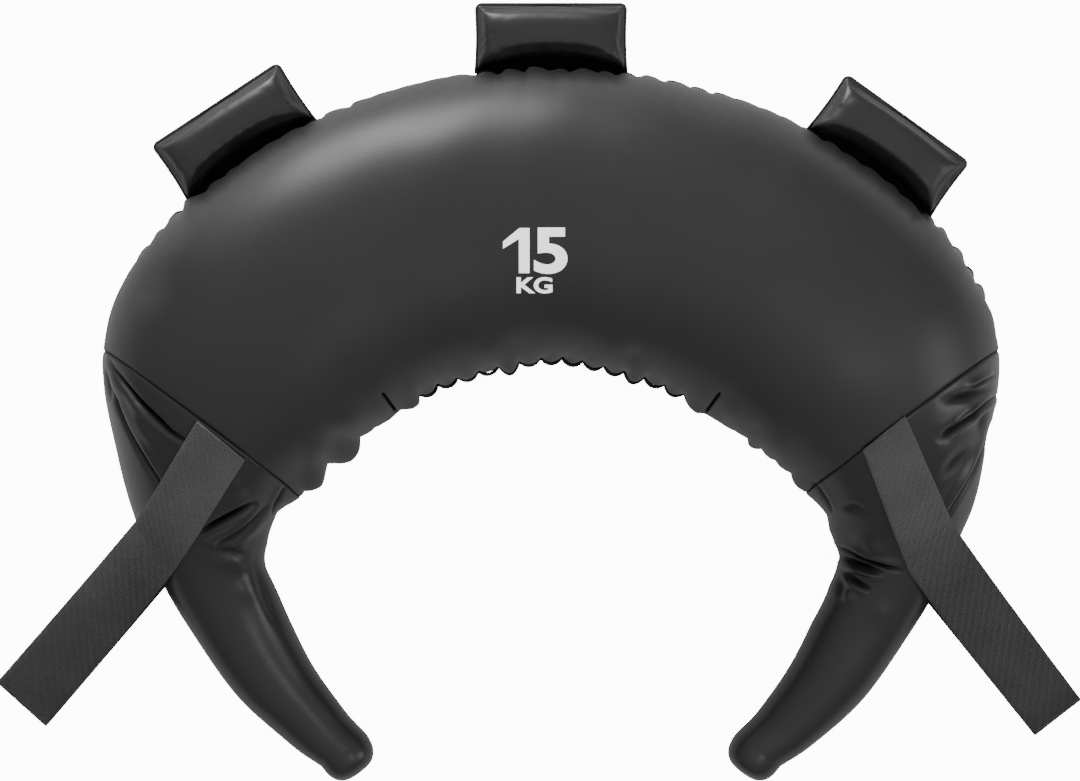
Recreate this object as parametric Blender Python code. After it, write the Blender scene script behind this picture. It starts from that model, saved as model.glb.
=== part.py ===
"""Bulgarian bag: a filled crescent with two horns, three padded handles and two strap loops.

The bag lies on its back on the floor, +Z up, with its crown towards +Y and its horns towards -Y.
The origin is the middle of the flat patch under the crown, which the bag rests on.
All sizes are in metres.
"""

import math

import bmesh
import bpy
import numpy as np
from mathutils import Matrix, Vector

# Body: the centreline and the crown's section
HALF_SPREAD = 0.273
DROP = 0.4135
CROWN_HALF_WIDTH = 0.1122
CROWN_HALF_DEPTH = 0.096
ROUNDING_SHARE = 0.93

# Stations from the crown to a horn tip. Each row has the centreline's place across and down as
# shares of HALF_SPREAD and DROP, the half width as a share of CROWN_HALF_WIDTH, the half depth
# and the height of the seams as shares of CROWN_HALF_DEPTH, and the section's heading from +Y
# as a share of a half turn.
STATION_SHARES = (
    (0.000, 0.000, 1.000, 1.000, 0.875, 0.000),
    (0.396, 0.050, 1.005, 1.000, 0.875, 0.109),
    (0.680, 0.149, 0.994, 0.990, 0.873, 0.208),
    (0.870, 0.266, 0.967, 0.940, 0.835, 0.267),
    (0.986, 0.382, 0.796, 0.830, 0.755, 0.300),
    (0.999, 0.507, 0.570, 0.640, 0.680, 0.370),
    (0.975, 0.625, 0.404, 0.460, 0.535, 0.475),
    (0.897, 0.739, 0.332, 0.375, 0.420, 0.605),
    (0.791, 0.870, 0.280, 0.320, 0.325, 0.651),
    (0.677, 0.956, 0.227, 0.275, 0.275, 0.684),
    (0.590, 1.000, 0.194, 0.255, 0.250, 0.705),
)
TIP_STATION = len(STATION_SHARES) - 1
END_STATION = TIP_STATION + 1

# Skin: walls, seams and the cuffs where the horn covers begin
SKIN_WALL = 0.0022
SKIN_CLEARANCE = 0.0010
SEAM_GAP = 0.0006
CUFF_STATION = 4.0
CUFF_OVERLAP_STATION = 0.2
COVER_RISE_STATION = 0.5
PUCKER_FADE_STATION = 2.8
SEAM_STEPS = 400
FRAME_STEP_STATION = 0.2
NORMAL_STEP = 0.01
# Places round the section from the outer seam to the inner one, as shares of a half turn
PANEL_SHARES = (0, 0.054, 0.143, 0.27, 0.414, 0.557, 0.7, 0.812, 0.907, 0.9645, 0.979, 1)
COVER_SHARES = (0, 0.054, 0.143, 0.27, 0.414, 0.557, 0.7, 0.812, 0.907, 1)
FILL_SHARES = (0, 0.143, 0.414, 0.7, 0.907, 1)
# Rows of a horn cover from the cuff to the end of its tip, as shares of that run
COVER_ROW_SHARES = (
    0.03, 0.065, 0.1, 0.143, 0.19, 0.243, 0.3, 0.37, 0.47, 0.64, 0.857, 0.907, 0.954, 1.0,
)
FILL_ROW_STEP = 3

# Laced opening and the puckers of the inner seam
LACE_TURNS = 13
LACE_PITCH = 0.016
LACE_DIAMETER = 0.0024
LACE_POINTS = 8
GROOVE_DEPTH = 0.010
GROOVE_ANGLE = 0.085
GROOVE_FADE = 0.030
SCALLOP_DEPTH = 0.0030
PUCKER_PITCH = 0.020
PUCKER_DEPTH = 0.0025
PUCKER_ANGLE = 0.45

# Facings: the two webbing strips that carry the lacing holes
FACING_WALL = 0.0014
FACING_GAP = 0.0004
FACING_INSIDE = 0.008
FACING_LIP = 0.007
FACING_END = 0.010
HOLE_DIAMETER = 0.0044
HOLE_SETBACK = 0.0035
HOLE_SIDES = 6
LACE_DWELL_SHARE = 0.8
LACE_REACH = 0.0022
LACE_RISE = 0.0039

# Filling: stuffing round three sand bags, and a core in each horn
FILL_GAP = 0.0008
REST_GAP = 0.0004
FILL_THICKNESS = 0.022
FILL_END_STATION = 3.65
SAND_JOINT_STATION = 1.25
SAND_END_STATION = 3.4
SAND_BREAK_STATION = 0.09
SAND_END_DRAW = 0.008
SAND_GAP = 0.003

# Handles: a padded roll sewn along its whole base
HANDLE_STATIONS = (("left", -1.73), ("top", 0.0), ("right", 1.87))
HANDLE_LENGTH = 0.115
HANDLE_REACH = 0.0436
HANDLE_HALF_THICKNESS = 0.021
HANDLE_BULGE = 0.026
NECK_RADIUS = 0.003
NECK_SHARES = (-0.7, 0.0)
COVER_REACH_SHARES = (0.2, 0.45, 0.7, 1.0)
CAVITY_REACH_SHARES = (0.1, 0.2, 0.45, 0.7, 1.0)
BACK_TURN_SHARES = (0.39, 0.72)
FOAM_TURN_SHARES = (-0.66, -0.33, 0.0, 0.33, 0.66)
HANDLE_WALL = 0.002
HANDLE_CLEARANCE = 0.0006
SLIT_HALF_HEIGHT = 0.0004
SLIT_INSET = 0.008
SLIT_DEPTH = 0.004
END_ROUNDING = 0.012
END_SCALE_SHARES = ((1.0, 0.92), (0.6, 0.975), (0.0, 1.0))
ROLL_START_SHARE = 0.3
ROPE_DIAMETER = 0.013
BORE_CLEARANCE = 0.0008
ROPE_SETBACK = 0.006
TAB_WALL = 0.002
TAB_GAP = 0.0005
TAB_INSIDE = 0.008
TAB_LIP = 0.001
TAB_SETBACK = 0.003
TAB_COLUMNS = 4
TAB_REACH_STATION = 2.0
TAB_ZONE_MARGIN = 0.018

# Straps: a webbing band sewn round the flank of each horn, and the loop sewn to it
WEB_WIDTH = 0.050
WEB_WALL = 0.0022
WEB_GAP = 0.0018
WEB_COLUMNS = 4
STRAP_SEAM_GAP_STATION = 0.04
REAR_WRAP_ANGLE = 1.1
FLANK_ANGLE = 0.7
BAND_TOP_ROWS = 6
BAND_FLANK_ROWS = 4
BAND_REAR_ROWS = 4
ROLL_RADIUS = 0.0020
ROLL_GAP = 0.0010
TIP_RADIUS = 0.0026
LOOP_SPREAD = 0.034
FLOOR_GAP = 0.0005
ARC_STEPS = 6
LAYER_STEPS = 5
DROP_STIFFNESS_SHARE = 0.5
LEFT_LOOP_LENGTH = 0.154
RIGHT_LOOP_LENGTH = 0.138
# Each strap: side, place on the cuff seam from inner (-1) to outer (1) and the share of its width
# seen from above on the sloping flank, the station where it crosses the outer seam, the free
# part's heading from -Y, and its length on the floor
STRAPS = (
    ("left", -1, -0.24, 0.93, 6.12, math.radians(40.7), LEFT_LOOP_LENGTH),
    ("right", 1, -0.19, 0.82, 6.40, math.radians(40.2), RIGHT_LOOP_LENGTH),
)

# Colours: name, red, green, blue, roughness
FINISHES = {
    "leather": (0.030, 0.030, 0.032, 0.42),
    "cover": (0.026, 0.026, 0.028, 0.36),
    "webbing": (0.050, 0.050, 0.052, 0.80),
    "lace": (0.020, 0.020, 0.022, 0.60),
    "stuffing": (0.450, 0.430, 0.400, 0.95),
    "sandbag": (0.520, 0.450, 0.330, 0.90),
    "foam": (0.250, 0.250, 0.260, 0.95),
    "rope": (0.600, 0.560, 0.480, 0.90),
}

CUT_OVERRUN = 0.002
MERGE_DISTANCE = 0.000001
MIRROR = np.array((-1, 1, 1, 1, 1, -1))


# Scene and materials
def clear_scene():
    for old in list(bpy.data.objects):
        bpy.data.objects.remove(old, do_unlink=True)


def make_materials():
    materials = {}
    for name, (red, green, blue, roughness) in FINISHES.items():
        material = bpy.data.materials.new(name)
        material.use_nodes = True
        shader = material.node_tree.nodes["Principled BSDF"]
        shader.inputs["Base Color"].default_value = (red, green, blue, 1.0)
        shader.inputs["Roughness"].default_value = roughness
        shader.inputs["Metallic"].default_value = 0.0
        materials[name] = material
    return materials


def add_object(name, mesh, finish, origin=None, turn=0.0):
    """Links a mesh as an object, with its origin at a place and a turn about Z."""
    if finish:
        mesh.materials.append(MATERIALS[finish])
    item = bpy.data.objects.new(name, mesh)
    item.location = origin or Vector()
    item.rotation_euler = (0.0, 0.0, turn)
    bpy.context.collection.objects.link(item)
    item.parent = BAG
    return item


def finish_mesh(name, bm, smooth_angle=math.radians(40)):
    """Turns a bmesh into a mesh with merged doubles and outward faces."""
    bmesh.ops.remove_doubles(bm, verts=bm.verts, dist=MERGE_DISTANCE)
    bmesh.ops.dissolve_degenerate(bm, edges=bm.edges, dist=MERGE_DISTANCE)
    bmesh.ops.recalc_face_normals(bm, faces=bm.faces)
    mesh = bpy.data.meshes.new(name)
    bm.to_mesh(mesh)
    bm.free()
    mesh.shade_smooth()
    mesh.set_sharp_from_angle(angle=smooth_angle)
    return mesh


# Eased steps and the spline through the stations
def eased(value):
    value = min(max(value, 0.0), 1.0)
    return value * value * (3.0 - 2.0 * value)


def station_rows():
    """The stations in metres, with one mirrored before the crown and one past the tip."""
    rows = []
    for across, down, width, depth, height, heading in STATION_SHARES:
        rows.append((
            across * HALF_SPREAD,
            -down * DROP,
            width * CROWN_HALF_WIDTH,
            depth * CROWN_HALF_DEPTH,
            height * CROWN_HALF_DEPTH,
            heading * math.pi,
        ))
    rows = np.array(rows)
    before = rows[1] * MIRROR
    past = 2 * rows[-1] - rows[-2]
    return np.vstack((before, rows, past))


def station_values(station):
    """Catmull-Rom through the rows: x, y, half width, half depth, seam height and heading."""
    size = min(abs(station), TIP_STATION)
    first = min(int(size), TIP_STATION - 1)
    part = size - first
    a, b, c, d = STATION_ROWS[first:first + 4]
    values = (
        2 * b
        + (c - a) * part
        + (2 * a - 5 * b + 4 * c - d) * part ** 2
        + (3 * b - a - 3 * c + d) * part ** 3
    ) / 2
    return values * MIRROR if station < 0 else values


def body_frame(station):
    """Middle, direction along the body, direction outwards, half width and half depth."""
    x, y, half_width, half_depth, height, heading = station_values(station)
    outwards = Vector((math.sin(heading), math.cos(heading), 0.0))
    along = Vector((outwards.y, -outwards.x, 0.0))
    return Vector((x, y, height)), along, outwards, half_width, half_depth


def half_turns(shares):
    return [share * math.pi for share in shares]


def rounded(value):
    return math.copysign(abs(value) ** ROUNDING_SHARE, value)


def skin_point(station, angle, inset=0.0, cut=0.0, floor=0.0, lift=0.0):
    """A point of the body: angle 0 is the outer seam, a half turn the inner seam, front above.

    Past the tip station the section shrinks to a round end.
    """
    middle, along, outwards, half_width, half_depth = body_frame(station)
    turn = max(abs(station) - TIP_STATION, 0.0) * math.pi / 2
    reach = (half_width - inset) * math.sin(turn)
    across = (half_width - inset) * math.cos(turn) * rounded(math.cos(angle)) + cut
    rise = (half_depth - abs(lift) - inset) * math.cos(turn) * rounded(math.sin(angle))
    point = middle + outwards * across + along * math.copysign(reach, station)
    point.z = max(middle.z + lift + rise, floor)
    return point


# Arc length along the seams
def seam_table(angle):
    """Rows and their points along one seam, with the arc length from the crown."""
    rows = np.linspace(-CUFF_STATION, CUFF_STATION, SEAM_STEPS + 1)
    points = np.array([skin_point(row, angle)[:] for row in rows])
    steps = np.linalg.norm(np.diff(points, axis=0), axis=1)
    arcs = np.concatenate(([0.0], np.cumsum(steps)))
    return rows, points, arcs - arcs[len(arcs) // 2]


def row_at_arc(arc):
    rows, _, arcs = INNER_SEAM
    return float(np.interp(arc, arcs, rows))


def arc_at_row(row):
    rows, _, arcs = INNER_SEAM
    return float(np.interp(row, rows, arcs))


def outer_arc_at_row(row):
    rows, _, arcs = OUTER_SEAM
    return float(np.interp(row, rows, arcs))


# Seam details: the groove of the laced opening, its scallops, puckers and seam gaps
def laced_half():
    return LACE_TURNS * LACE_PITCH / 2


def laced_zone(arc):
    return 1.0 - eased((abs(arc) - laced_half() - FACING_END) / GROOVE_FADE)


def pucker(row):
    """Depth of the scallop or pucker at a row of the inner seam."""
    arc = abs(arc_at_row(row))
    if arc <= laced_half():
        phase = (laced_half() - arc) / LACE_PITCH
        return SCALLOP_DEPTH * (1.0 - abs(math.sin(math.pi * phase)))
    phase = (arc - laced_half()) / PUCKER_PITCH
    fade = 1.0 - eased((abs(row) - PUCKER_FADE_STATION) / (CUFF_STATION - PUCKER_FADE_STATION))
    return fade * PUCKER_DEPTH * (1.0 - abs(math.sin(math.pi * phase)))


def seam_cut(row, angle):
    """How far the inner edge draws back, for its groove and its scallops."""
    from_seam = math.pi - abs(angle)
    groove = GROOVE_DEPTH * laced_zone(arc_at_row(row)) * math.exp(-(from_seam / GROOVE_ANGLE) ** 4)
    return groove + pucker(row) * math.exp(-(from_seam / PUCKER_ANGLE) ** 2)


def tab_zone(row):
    """One where a handle's tab passes between the panels, and zero away from the handles."""
    arc = outer_arc_at_row(row)
    nearest = min(abs(arc - outer_arc_at_row(station)) for _, station in HANDLE_STATIONS)
    return 1.0 - eased((nearest - HANDLE_LENGTH / 2 - TAB_ZONE_MARGIN) / TAB_ZONE_MARGIN)


def seam_lift(row, angle):
    """Half the gap between the panels, wider for the facings and the tabs."""
    facing_room = FACING_GAP / 2 + FACING_WALL + REST_GAP - SEAM_GAP / 2
    tab_room = TAB_WALL / 2 + TAB_GAP - SEAM_GAP / 2
    inner = facing_room * laced_zone(arc_at_row(row)) * (1.0 - math.cos(angle)) / 2
    outer = tab_room * tab_zone(row) * (1.0 + math.cos(angle)) / 2
    return SEAM_GAP / 2 + inner + outer


# Solids from grids of points
def grid_faces(bm, rows, closed=False, turn_back=None):
    """Triangles over a grid of vertices, where closed joins each row's end to its start.

    All grids split their quads alike, so nested walls stay apart. Past turn_back a row runs
    back along the other half of the body, and its quads split the other way.
    """
    count = len(rows[0])
    for first, second in zip(rows, rows[1:]):
        for i in range(count if closed else count - 1):
            j = (i + 1) % count
            if turn_back is not None and i >= turn_back:
                bm.faces.new((first[i], first[j], second[i]))
                bm.faces.new((first[j], second[j], second[i]))
            else:
                bm.faces.new((first[i], first[j], second[j]))
                bm.faces.new((first[i], second[j], second[i]))


def to_verts(bm, rows):
    return [[bm.verts.new(point) for point in row] for row in rows]


def shell_mesh(name, outer_rows, inner_rows):
    """A wall between two grids of the same size, closed along all four edges."""
    bm = bmesh.new()
    outer = to_verts(bm, outer_rows)
    inner = to_verts(bm, inner_rows)
    grid_faces(bm, outer)
    grid_faces(bm, inner)
    grid_faces(bm, [outer[0], inner[0]])
    grid_faces(bm, [outer[-1], inner[-1]])
    grid_faces(bm, [[row[0] for row in outer], [row[0] for row in inner]])
    grid_faces(bm, [[row[-1] for row in outer], [row[-1] for row in inner]])
    return finish_mesh(name, drop_slivers(bm))


def solid_mesh(name, rows, turn_back=None):
    """A loft through closed sections, with flat ends."""
    bm = bmesh.new()
    verts = to_verts(bm, rows)
    grid_faces(bm, verts, closed=True, turn_back=turn_back)
    bm.faces.new(verts[0])
    bm.faces.new(verts[-1])
    return finish_mesh(name, drop_slivers(bm))


def drop_slivers(bm):
    """Merges the points that meet at a horn's tip before the faces there are kept."""
    bmesh.ops.remove_doubles(bm, verts=bm.verts, dist=MERGE_DISTANCE)
    return bm


# Panels and horn covers
def panel_rows():
    """Rows of the panels from cuff to cuff: two a scallop in the lacing, two a pucker beside it."""
    arcs = [laced_half() - LACE_PITCH * i / 2 for i in range(LACE_TURNS, -1, -1)]
    last = arc_at_row(CUFF_STATION - CUFF_OVERLAP_STATION)
    arc = laced_half() + PUCKER_PITCH / 2
    while arc < last - PUCKER_PITCH / 4:
        arcs.append(arc)
        arc += PUCKER_PITCH / 2
    right = [row_at_arc(arc) for arc in arcs]
    right += [CUFF_STATION - CUFF_OVERLAP_STATION, CUFF_STATION]
    left = [-row for row in reversed(right[1:])]
    return left + right


def add_panel(name, side):
    """The front (side 1) or rear (side -1) main panel."""
    outer_rows = []
    inner_rows = []
    for row in panel_rows():
        outer = []
        inner = []
        for angle in half_turns(PANEL_SHARES):
            cut = seam_cut(row, angle)
            lift = side * seam_lift(row, angle)
            outer.append(skin_point(row, side * angle, 0.0, cut, 0.0, lift))
            inner.append(skin_point(row, side * angle, SKIN_WALL, cut, SKIN_WALL, lift))
        outer_rows.append(outer)
        inner_rows.append(inner)
    return add_object(name, shell_mesh(name, outer_rows, inner_rows), "leather")


def cover_inset(station):
    """The horn cover lies under the panel's hem and rises to full size past it."""
    past_cuff = abs(station) - CUFF_STATION
    return (SKIN_WALL + SKIN_CLEARANCE) * (1.0 - eased(past_cuff / COVER_RISE_STATION))


def cover_rows():
    return [CUFF_STATION - CUFF_OVERLAP_STATION, CUFF_STATION] + core_rows()


def core_rows():
    return [CUFF_STATION + (END_STATION - CUFF_STATION) * share for share in COVER_ROW_SHARES]


def add_horn_cover(name, side, hand):
    outer_rows = []
    inner_rows = []
    for row in cover_rows():
        outer = []
        inner = []
        inset = cover_inset(row)
        wall = inset + SKIN_WALL
        lift = side * SEAM_GAP / 2
        for angle in half_turns(COVER_SHARES):
            outer.append(skin_point(hand * row, side * angle, inset, 0.0, inset, lift))
            inner.append(skin_point(hand * row, side * angle, wall, 0.0, wall, lift))
        outer_rows.append(outer)
        inner_rows.append(inner)
    return add_object(name, shell_mesh(name, outer_rows, inner_rows), "cover")


# Filling
def fill_cut(angle):
    """Keeps the filling clear of the facings at the inner seam and the tabs at the outer one."""
    if math.cos(angle) < 0:
        return -(GROOVE_DEPTH + FACING_INSIDE) * math.cos(angle)
    return -TAB_INSIDE * math.cos(angle)


def fill_rows():
    """Every third row of the panels, mirrored at the crown."""
    right = [row for row in panel_rows() if 0 < row < FILL_END_STATION][::FILL_ROW_STEP]
    return [-row for row in reversed(right)] + right


def add_fill(name, side):
    outside = SKIN_WALL + FILL_GAP
    inside = outside + FILL_THICKNESS
    lift = side * REST_GAP / 2
    outer_rows = []
    inner_rows = []
    for row in fill_rows():
        outer = []
        inner = []
        for angle in half_turns(FILL_SHARES):
            cut = fill_cut(angle)
            outer_floor = SKIN_WALL + REST_GAP
            inner_floor = outer_floor + FILL_THICKNESS
            outer.append(skin_point(row, side * angle, outside, cut, outer_floor, lift))
            inner.append(skin_point(row, side * angle, inside, cut, inner_floor, lift))
        outer_rows.append(outer)
        inner_rows.append(inner)
    return add_object(name, shell_mesh(name, outer_rows, inner_rows), "stuffing")


def around(shares):
    """The angles over the front, then back round the rear, without the inner seam twice."""
    angles = half_turns(shares)
    return angles + [-angle for angle in reversed(angles[1:-1])]


def add_sand_bag(name, start, end):
    """A sand bag between two stations, drawn in at its ends."""
    inset = SKIN_WALL + FILL_GAP + FILL_THICKNESS + SAND_GAP
    floor = SKIN_WALL + REST_GAP + FILL_THICKNESS + REST_GAP
    stations = [row for row in fill_rows() if start < row < end]
    sections = [(start, SAND_END_DRAW)] + [(row, 0.0) for row in stations] + [(end, SAND_END_DRAW)]
    rows = []
    for station, draw in sections:
        rows.append([
            skin_point(station, angle, inset + draw, fill_cut(angle), floor)
            for angle in around(FILL_SHARES)
        ])
    return add_object(name, solid_mesh(name, rows, len(FILL_SHARES) - 1), "sandbag")


def add_horn_core(name, hand):
    rows = []
    for row in core_rows():
        wall = cover_inset(row) + SKIN_WALL
        rows.append([
            skin_point(hand * row, angle, wall + FILL_GAP, 0.0, wall + REST_GAP)
            for angle in around(COVER_SHARES)
        ])
    bm = bmesh.new()
    verts = to_verts(bm, rows)
    grid_faces(bm, verts, closed=True, turn_back=len(COVER_SHARES) - 1)
    bm.faces.new(verts[0])
    return add_object(name, finish_mesh(name, drop_slivers(bm)), "stuffing")


# Laced opening
def facing_frame(arc):
    """Edge of the groove at an arc of the inner seam, with the directions along and inwards."""
    middle, along, outwards, half_width, _ = body_frame(row_at_arc(arc))
    edge = middle - outwards * (half_width - GROOVE_DEPTH)
    return edge, along, -outwards


def lacing_arcs():
    return [LACE_PITCH * i - laced_half() for i in range(LACE_TURNS + 1)]


def add_facing(name, side):
    """A webbing strip inside one lip of the opening, with a row of lacing holes."""
    end = laced_half() + FACING_END
    steps = LACE_TURNS + 1
    rows = []
    for i in range(steps + 1):
        edge, _, inwards = facing_frame(-end + 2 * end * i / steps)
        low = Vector((0, 0, side * FACING_GAP / 2))
        high = Vector((0, 0, side * (FACING_GAP / 2 + FACING_WALL)))
        back = edge - inwards * FACING_INSIDE
        front = edge + inwards * FACING_LIP
        rows.append([back + low, front + low, front + high, back + high])
    item = add_object(name, solid_mesh(name, rows), "webbing")
    cutter = add_hole_cutter(name + "_holes")
    cut = item.modifiers.new("lacing holes", "BOOLEAN")
    cut.operation = "DIFFERENCE"
    cut.solver = "EXACT"
    cut.object = cutter
    return item


def add_hole_cutter(name):
    bm = bmesh.new()
    half_height = FACING_GAP / 2 + FACING_WALL + CUT_OVERRUN
    for arc in lacing_arcs():
        edge, _, inwards = facing_frame(arc)
        centre = edge + inwards * HOLE_SETBACK
        bmesh.ops.create_cone(
            bm, cap_ends=True, segments=HOLE_SIDES, radius1=HOLE_DIAMETER / 2,
            radius2=HOLE_DIAMETER / 2, depth=2 * half_height,
            matrix=Matrix.Translation(centre),
        )
    cutter = add_object(name, finish_mesh(name, bm), None)
    cutter.hide_render = True
    cutter.display_type = "WIRE"
    return cutter


def lace_path():
    """Points of the lace: an oval helix that dwells in each hole and passes round the lips."""
    reach = FACING_LIP + LACE_REACH
    centre = (HOLE_SETBACK + reach) / 2
    half_reach = (reach - HOLE_SETBACK) / 2
    points = []
    for i in range(LACE_TURNS * LACE_POINTS + 1):
        phase = 2 * math.pi * i / LACE_POINTS
        advance = (phase + LACE_DWELL_SHARE * math.sin(phase + math.pi)) / (2 * math.pi)
        edge, _, inwards = facing_frame(LACE_PITCH * advance - laced_half())
        across = centre - half_reach * math.cos(phase)
        rise = LACE_RISE * math.sin(phase)
        points.append(edge + inwards * across + Vector((0, 0, rise)))
    return points


def add_lace(name):
    points = lace_path()
    curve = bpy.data.curves.new(name, "CURVE")
    curve.dimensions = "3D"
    curve.bevel_depth = LACE_DIAMETER / 2
    curve.bevel_resolution = 1
    curve.use_fill_caps = True
    spline = curve.splines.new("POLY")
    spline.points.add(len(points) - 1)
    for target, point in zip(spline.points, points):
        target.co = (point.x, point.y, point.z, 1.0)
    add_object(name, curve, "lace")
    gap = min(
        (points[i] - points[j]).length
        for i in range(len(points))
        for j in range(i + LACE_POINTS - 2, min(i + 2 * LACE_POINTS, len(points)))
    )
    print("least gap of the lace to itself, mm:", round((gap - LACE_DIAMETER) * 1000, 2))


# Handles
def handle_frame(station):
    """Hinge point of a handle and its turn about Z."""
    edge = skin_point(station, 0.0)
    _, along, outwards, _, _ = body_frame(station)
    hinge = edge + outwards * (TAB_LIP + TAB_GAP + NECK_RADIUS)
    return hinge, along, outwards, math.atan2(along.y, along.x)


def neck_half_thickness(reach):
    """Half thickness of the roll, from its round neck to the bulge."""
    if reach <= 0.0:
        return math.sqrt(max(NECK_RADIUS ** 2 - reach ** 2, 0.0))
    swell = math.sin(math.pi / 2 * min(reach / HANDLE_BULGE, 1.0))
    return NECK_RADIUS + (HANDLE_HALF_THICKNESS - NECK_RADIUS) * swell


def cover_profile():
    """Outline of the roll's section: reach from the hinge and height."""
    upper = [(-NECK_RADIUS, 0.0)]
    for share in NECK_SHARES:
        upper.append((NECK_RADIUS * share, neck_half_thickness(NECK_RADIUS * share)))
    for share in COVER_REACH_SHARES:
        upper.append((HANDLE_BULGE * share, neck_half_thickness(HANDLE_BULGE * share)))
    for share in BACK_TURN_SHARES:
        turn = share * math.pi / 2
        upper.append((
            HANDLE_BULGE + (HANDLE_REACH - HANDLE_BULGE) * math.sin(turn),
            HANDLE_HALF_THICKNESS * math.cos(turn),
        ))
    upper.append((HANDLE_REACH, 0.0))
    return upper


def cavity_profile():
    """Outline of the hollow in the cover, one wall inside it."""
    upper = [(0.0, 0.0)]
    for share in CAVITY_REACH_SHARES:
        reach = HANDLE_BULGE * share
        upper.append((reach, neck_half_thickness(reach) - HANDLE_WALL))
    for share in BACK_TURN_SHARES:
        turn = share * math.pi / 2
        upper.append((
            HANDLE_BULGE + (HANDLE_REACH - HANDLE_BULGE - HANDLE_WALL) * math.sin(turn),
            (HANDLE_HALF_THICKNESS - HANDLE_WALL) * math.cos(turn),
        ))
    upper.append((HANDLE_REACH - HANDLE_WALL, 0.0))
    return upper


def roll_profile():
    """Outline of the foam roll: an oval inside the cavity."""
    margin = HANDLE_WALL + HANDLE_CLEARANCE
    start = HANDLE_BULGE * ROLL_START_SHARE
    half_height = HANDLE_HALF_THICKNESS - margin
    upper = [(start, 0.0)]
    for share in FOAM_TURN_SHARES:
        turn = share * math.pi / 2
        length = HANDLE_BULGE - start if share < 0 else HANDLE_REACH - margin - HANDLE_BULGE
        upper.append((HANDLE_BULGE + length * math.sin(turn), half_height * math.cos(turn)))
    upper.append((HANDLE_REACH - margin, 0.0))
    return upper


def both_sides(upper):
    lower = [(reach, -height) for reach, height in reversed(upper[1:-1])]
    return upper + lower


def roll_rows(profile, half_length):
    """Sections along the handle, drawn in a little at both ends."""
    middle = HANDLE_BULGE
    rows = []
    ends = [(half_length - END_ROUNDING * (1.0 - place), scale) for place, scale in END_SCALE_SHARES]
    for x, scale in [(-x, scale) for x, scale in ends] + list(reversed(ends)):
        rows.append([
            Vector((x, middle + (reach - middle) * scale, height * scale)) for reach, height in profile
        ])
    return rows


def add_cutter(item, name, mesh, origin, turn):
    cutter = add_object(name, mesh, None, origin, turn)
    cutter.hide_render = True
    cutter.display_type = "WIRE"
    cut = item.modifiers.new(name, "BOOLEAN")
    cut.operation = "DIFFERENCE"
    cut.solver = "EXACT"
    cut.object = cutter


def box_mesh(name, low, high):
    bm = bmesh.new()
    size = high - low
    centre = (high + low) / 2
    scale = Matrix.Diagonal((size.x, size.y, size.z, 1.0))
    bmesh.ops.create_cube(bm, size=1.0, matrix=Matrix.Translation(centre) @ scale)
    return finish_mesh(name, bm)


def rod_mesh(name, diameter, length, centre, sides=10):
    """A round bar along X."""
    bm = bmesh.new()
    place = Matrix.Translation(centre) @ Matrix.Rotation(math.pi / 2, 4, "Y")
    bmesh.ops.create_cone(
        bm, cap_ends=True, segments=sides, radius1=diameter / 2, radius2=diameter / 2,
        depth=length, matrix=place,
    )
    return finish_mesh(name, bm)


def add_handle(label, station):
    hinge, _, _, turn = handle_frame(station)
    half_length = HANDLE_LENGTH / 2
    stem = "handle_" + label

    cover = add_object(
        stem + "_cover",
        solid_mesh(stem + "_cover", roll_rows(both_sides(cover_profile()), half_length)),
        "leather", hinge, turn,
    )
    cavity = roll_rows(both_sides(cavity_profile()), half_length - HANDLE_WALL)
    add_cutter(cover, stem + "_cavity", solid_mesh(stem + "_cavity", cavity), hinge, turn)
    slit_half = half_length - END_ROUNDING - SLIT_INSET
    low = Vector((-slit_half, -NECK_RADIUS - CUT_OVERRUN, -SLIT_HALF_HEIGHT))
    high = Vector((slit_half, SLIT_DEPTH, SLIT_HALF_HEIGHT))
    add_cutter(cover, stem + "_slit", box_mesh(stem + "_slit", low, high), hinge, turn)

    foam_half = half_length - HANDLE_WALL - HANDLE_CLEARANCE
    foam = add_object(
        stem + "_foam",
        solid_mesh(stem + "_foam", roll_rows(both_sides(roll_profile()), foam_half)),
        "foam", hinge, turn,
    )
    centre = Vector((0, HANDLE_BULGE, 0))
    bore = rod_mesh(stem + "_bore", ROPE_DIAMETER + 2 * BORE_CLEARANCE, HANDLE_LENGTH, centre)
    add_cutter(foam, stem + "_bore", bore, hinge, turn)
    rope = rod_mesh(stem + "_rope", ROPE_DIAMETER, HANDLE_LENGTH - 2 * ROPE_SETBACK, centre)
    add_object(stem + "_rope", rope, "rope", hinge, turn)
    add_tab(stem + "_tab", station)


def add_tab(name, station):
    """The strip between the panels that the handle is sewn to."""
    hinge, along, outwards, _ = handle_frame(station)
    rows, points, _ = OUTER_SEAM
    places = (points - np.array(hinge[:])) @ np.array(along[:])
    half_length = HANDLE_LENGTH / 2 - TAB_SETBACK
    front = -(TAB_GAP + NECK_RADIUS)
    back = front - TAB_LIP - TAB_INSIDE
    sections = []
    for i in range(TAB_COLUMNS + 1):
        x = -half_length + 2 * half_length * i / TAB_COLUMNS
        near = np.abs(rows - station) < TAB_REACH_STATION
        height = float(np.interp(x, places[near], points[near][:, 2]))
        base = Vector((hinge.x, hinge.y, height)) + along * x
        up = Vector((0, 0, TAB_WALL / 2))
        inner = base + outwards * back
        outer = base + outwards * front
        sections.append([inner - up, outer - up, outer + up, inner + up])
    return add_object(name, solid_mesh(name, sections), "webbing")


# Straps
def first_true(test, low, high, steps=50):
    """Where a test between low and high turns true, or low where it is true throughout."""
    for _ in range(steps):
        middle = (low + high) / 2
        if test(middle):
            high = middle
        else:
            low = middle
    return (low + high) / 2


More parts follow.
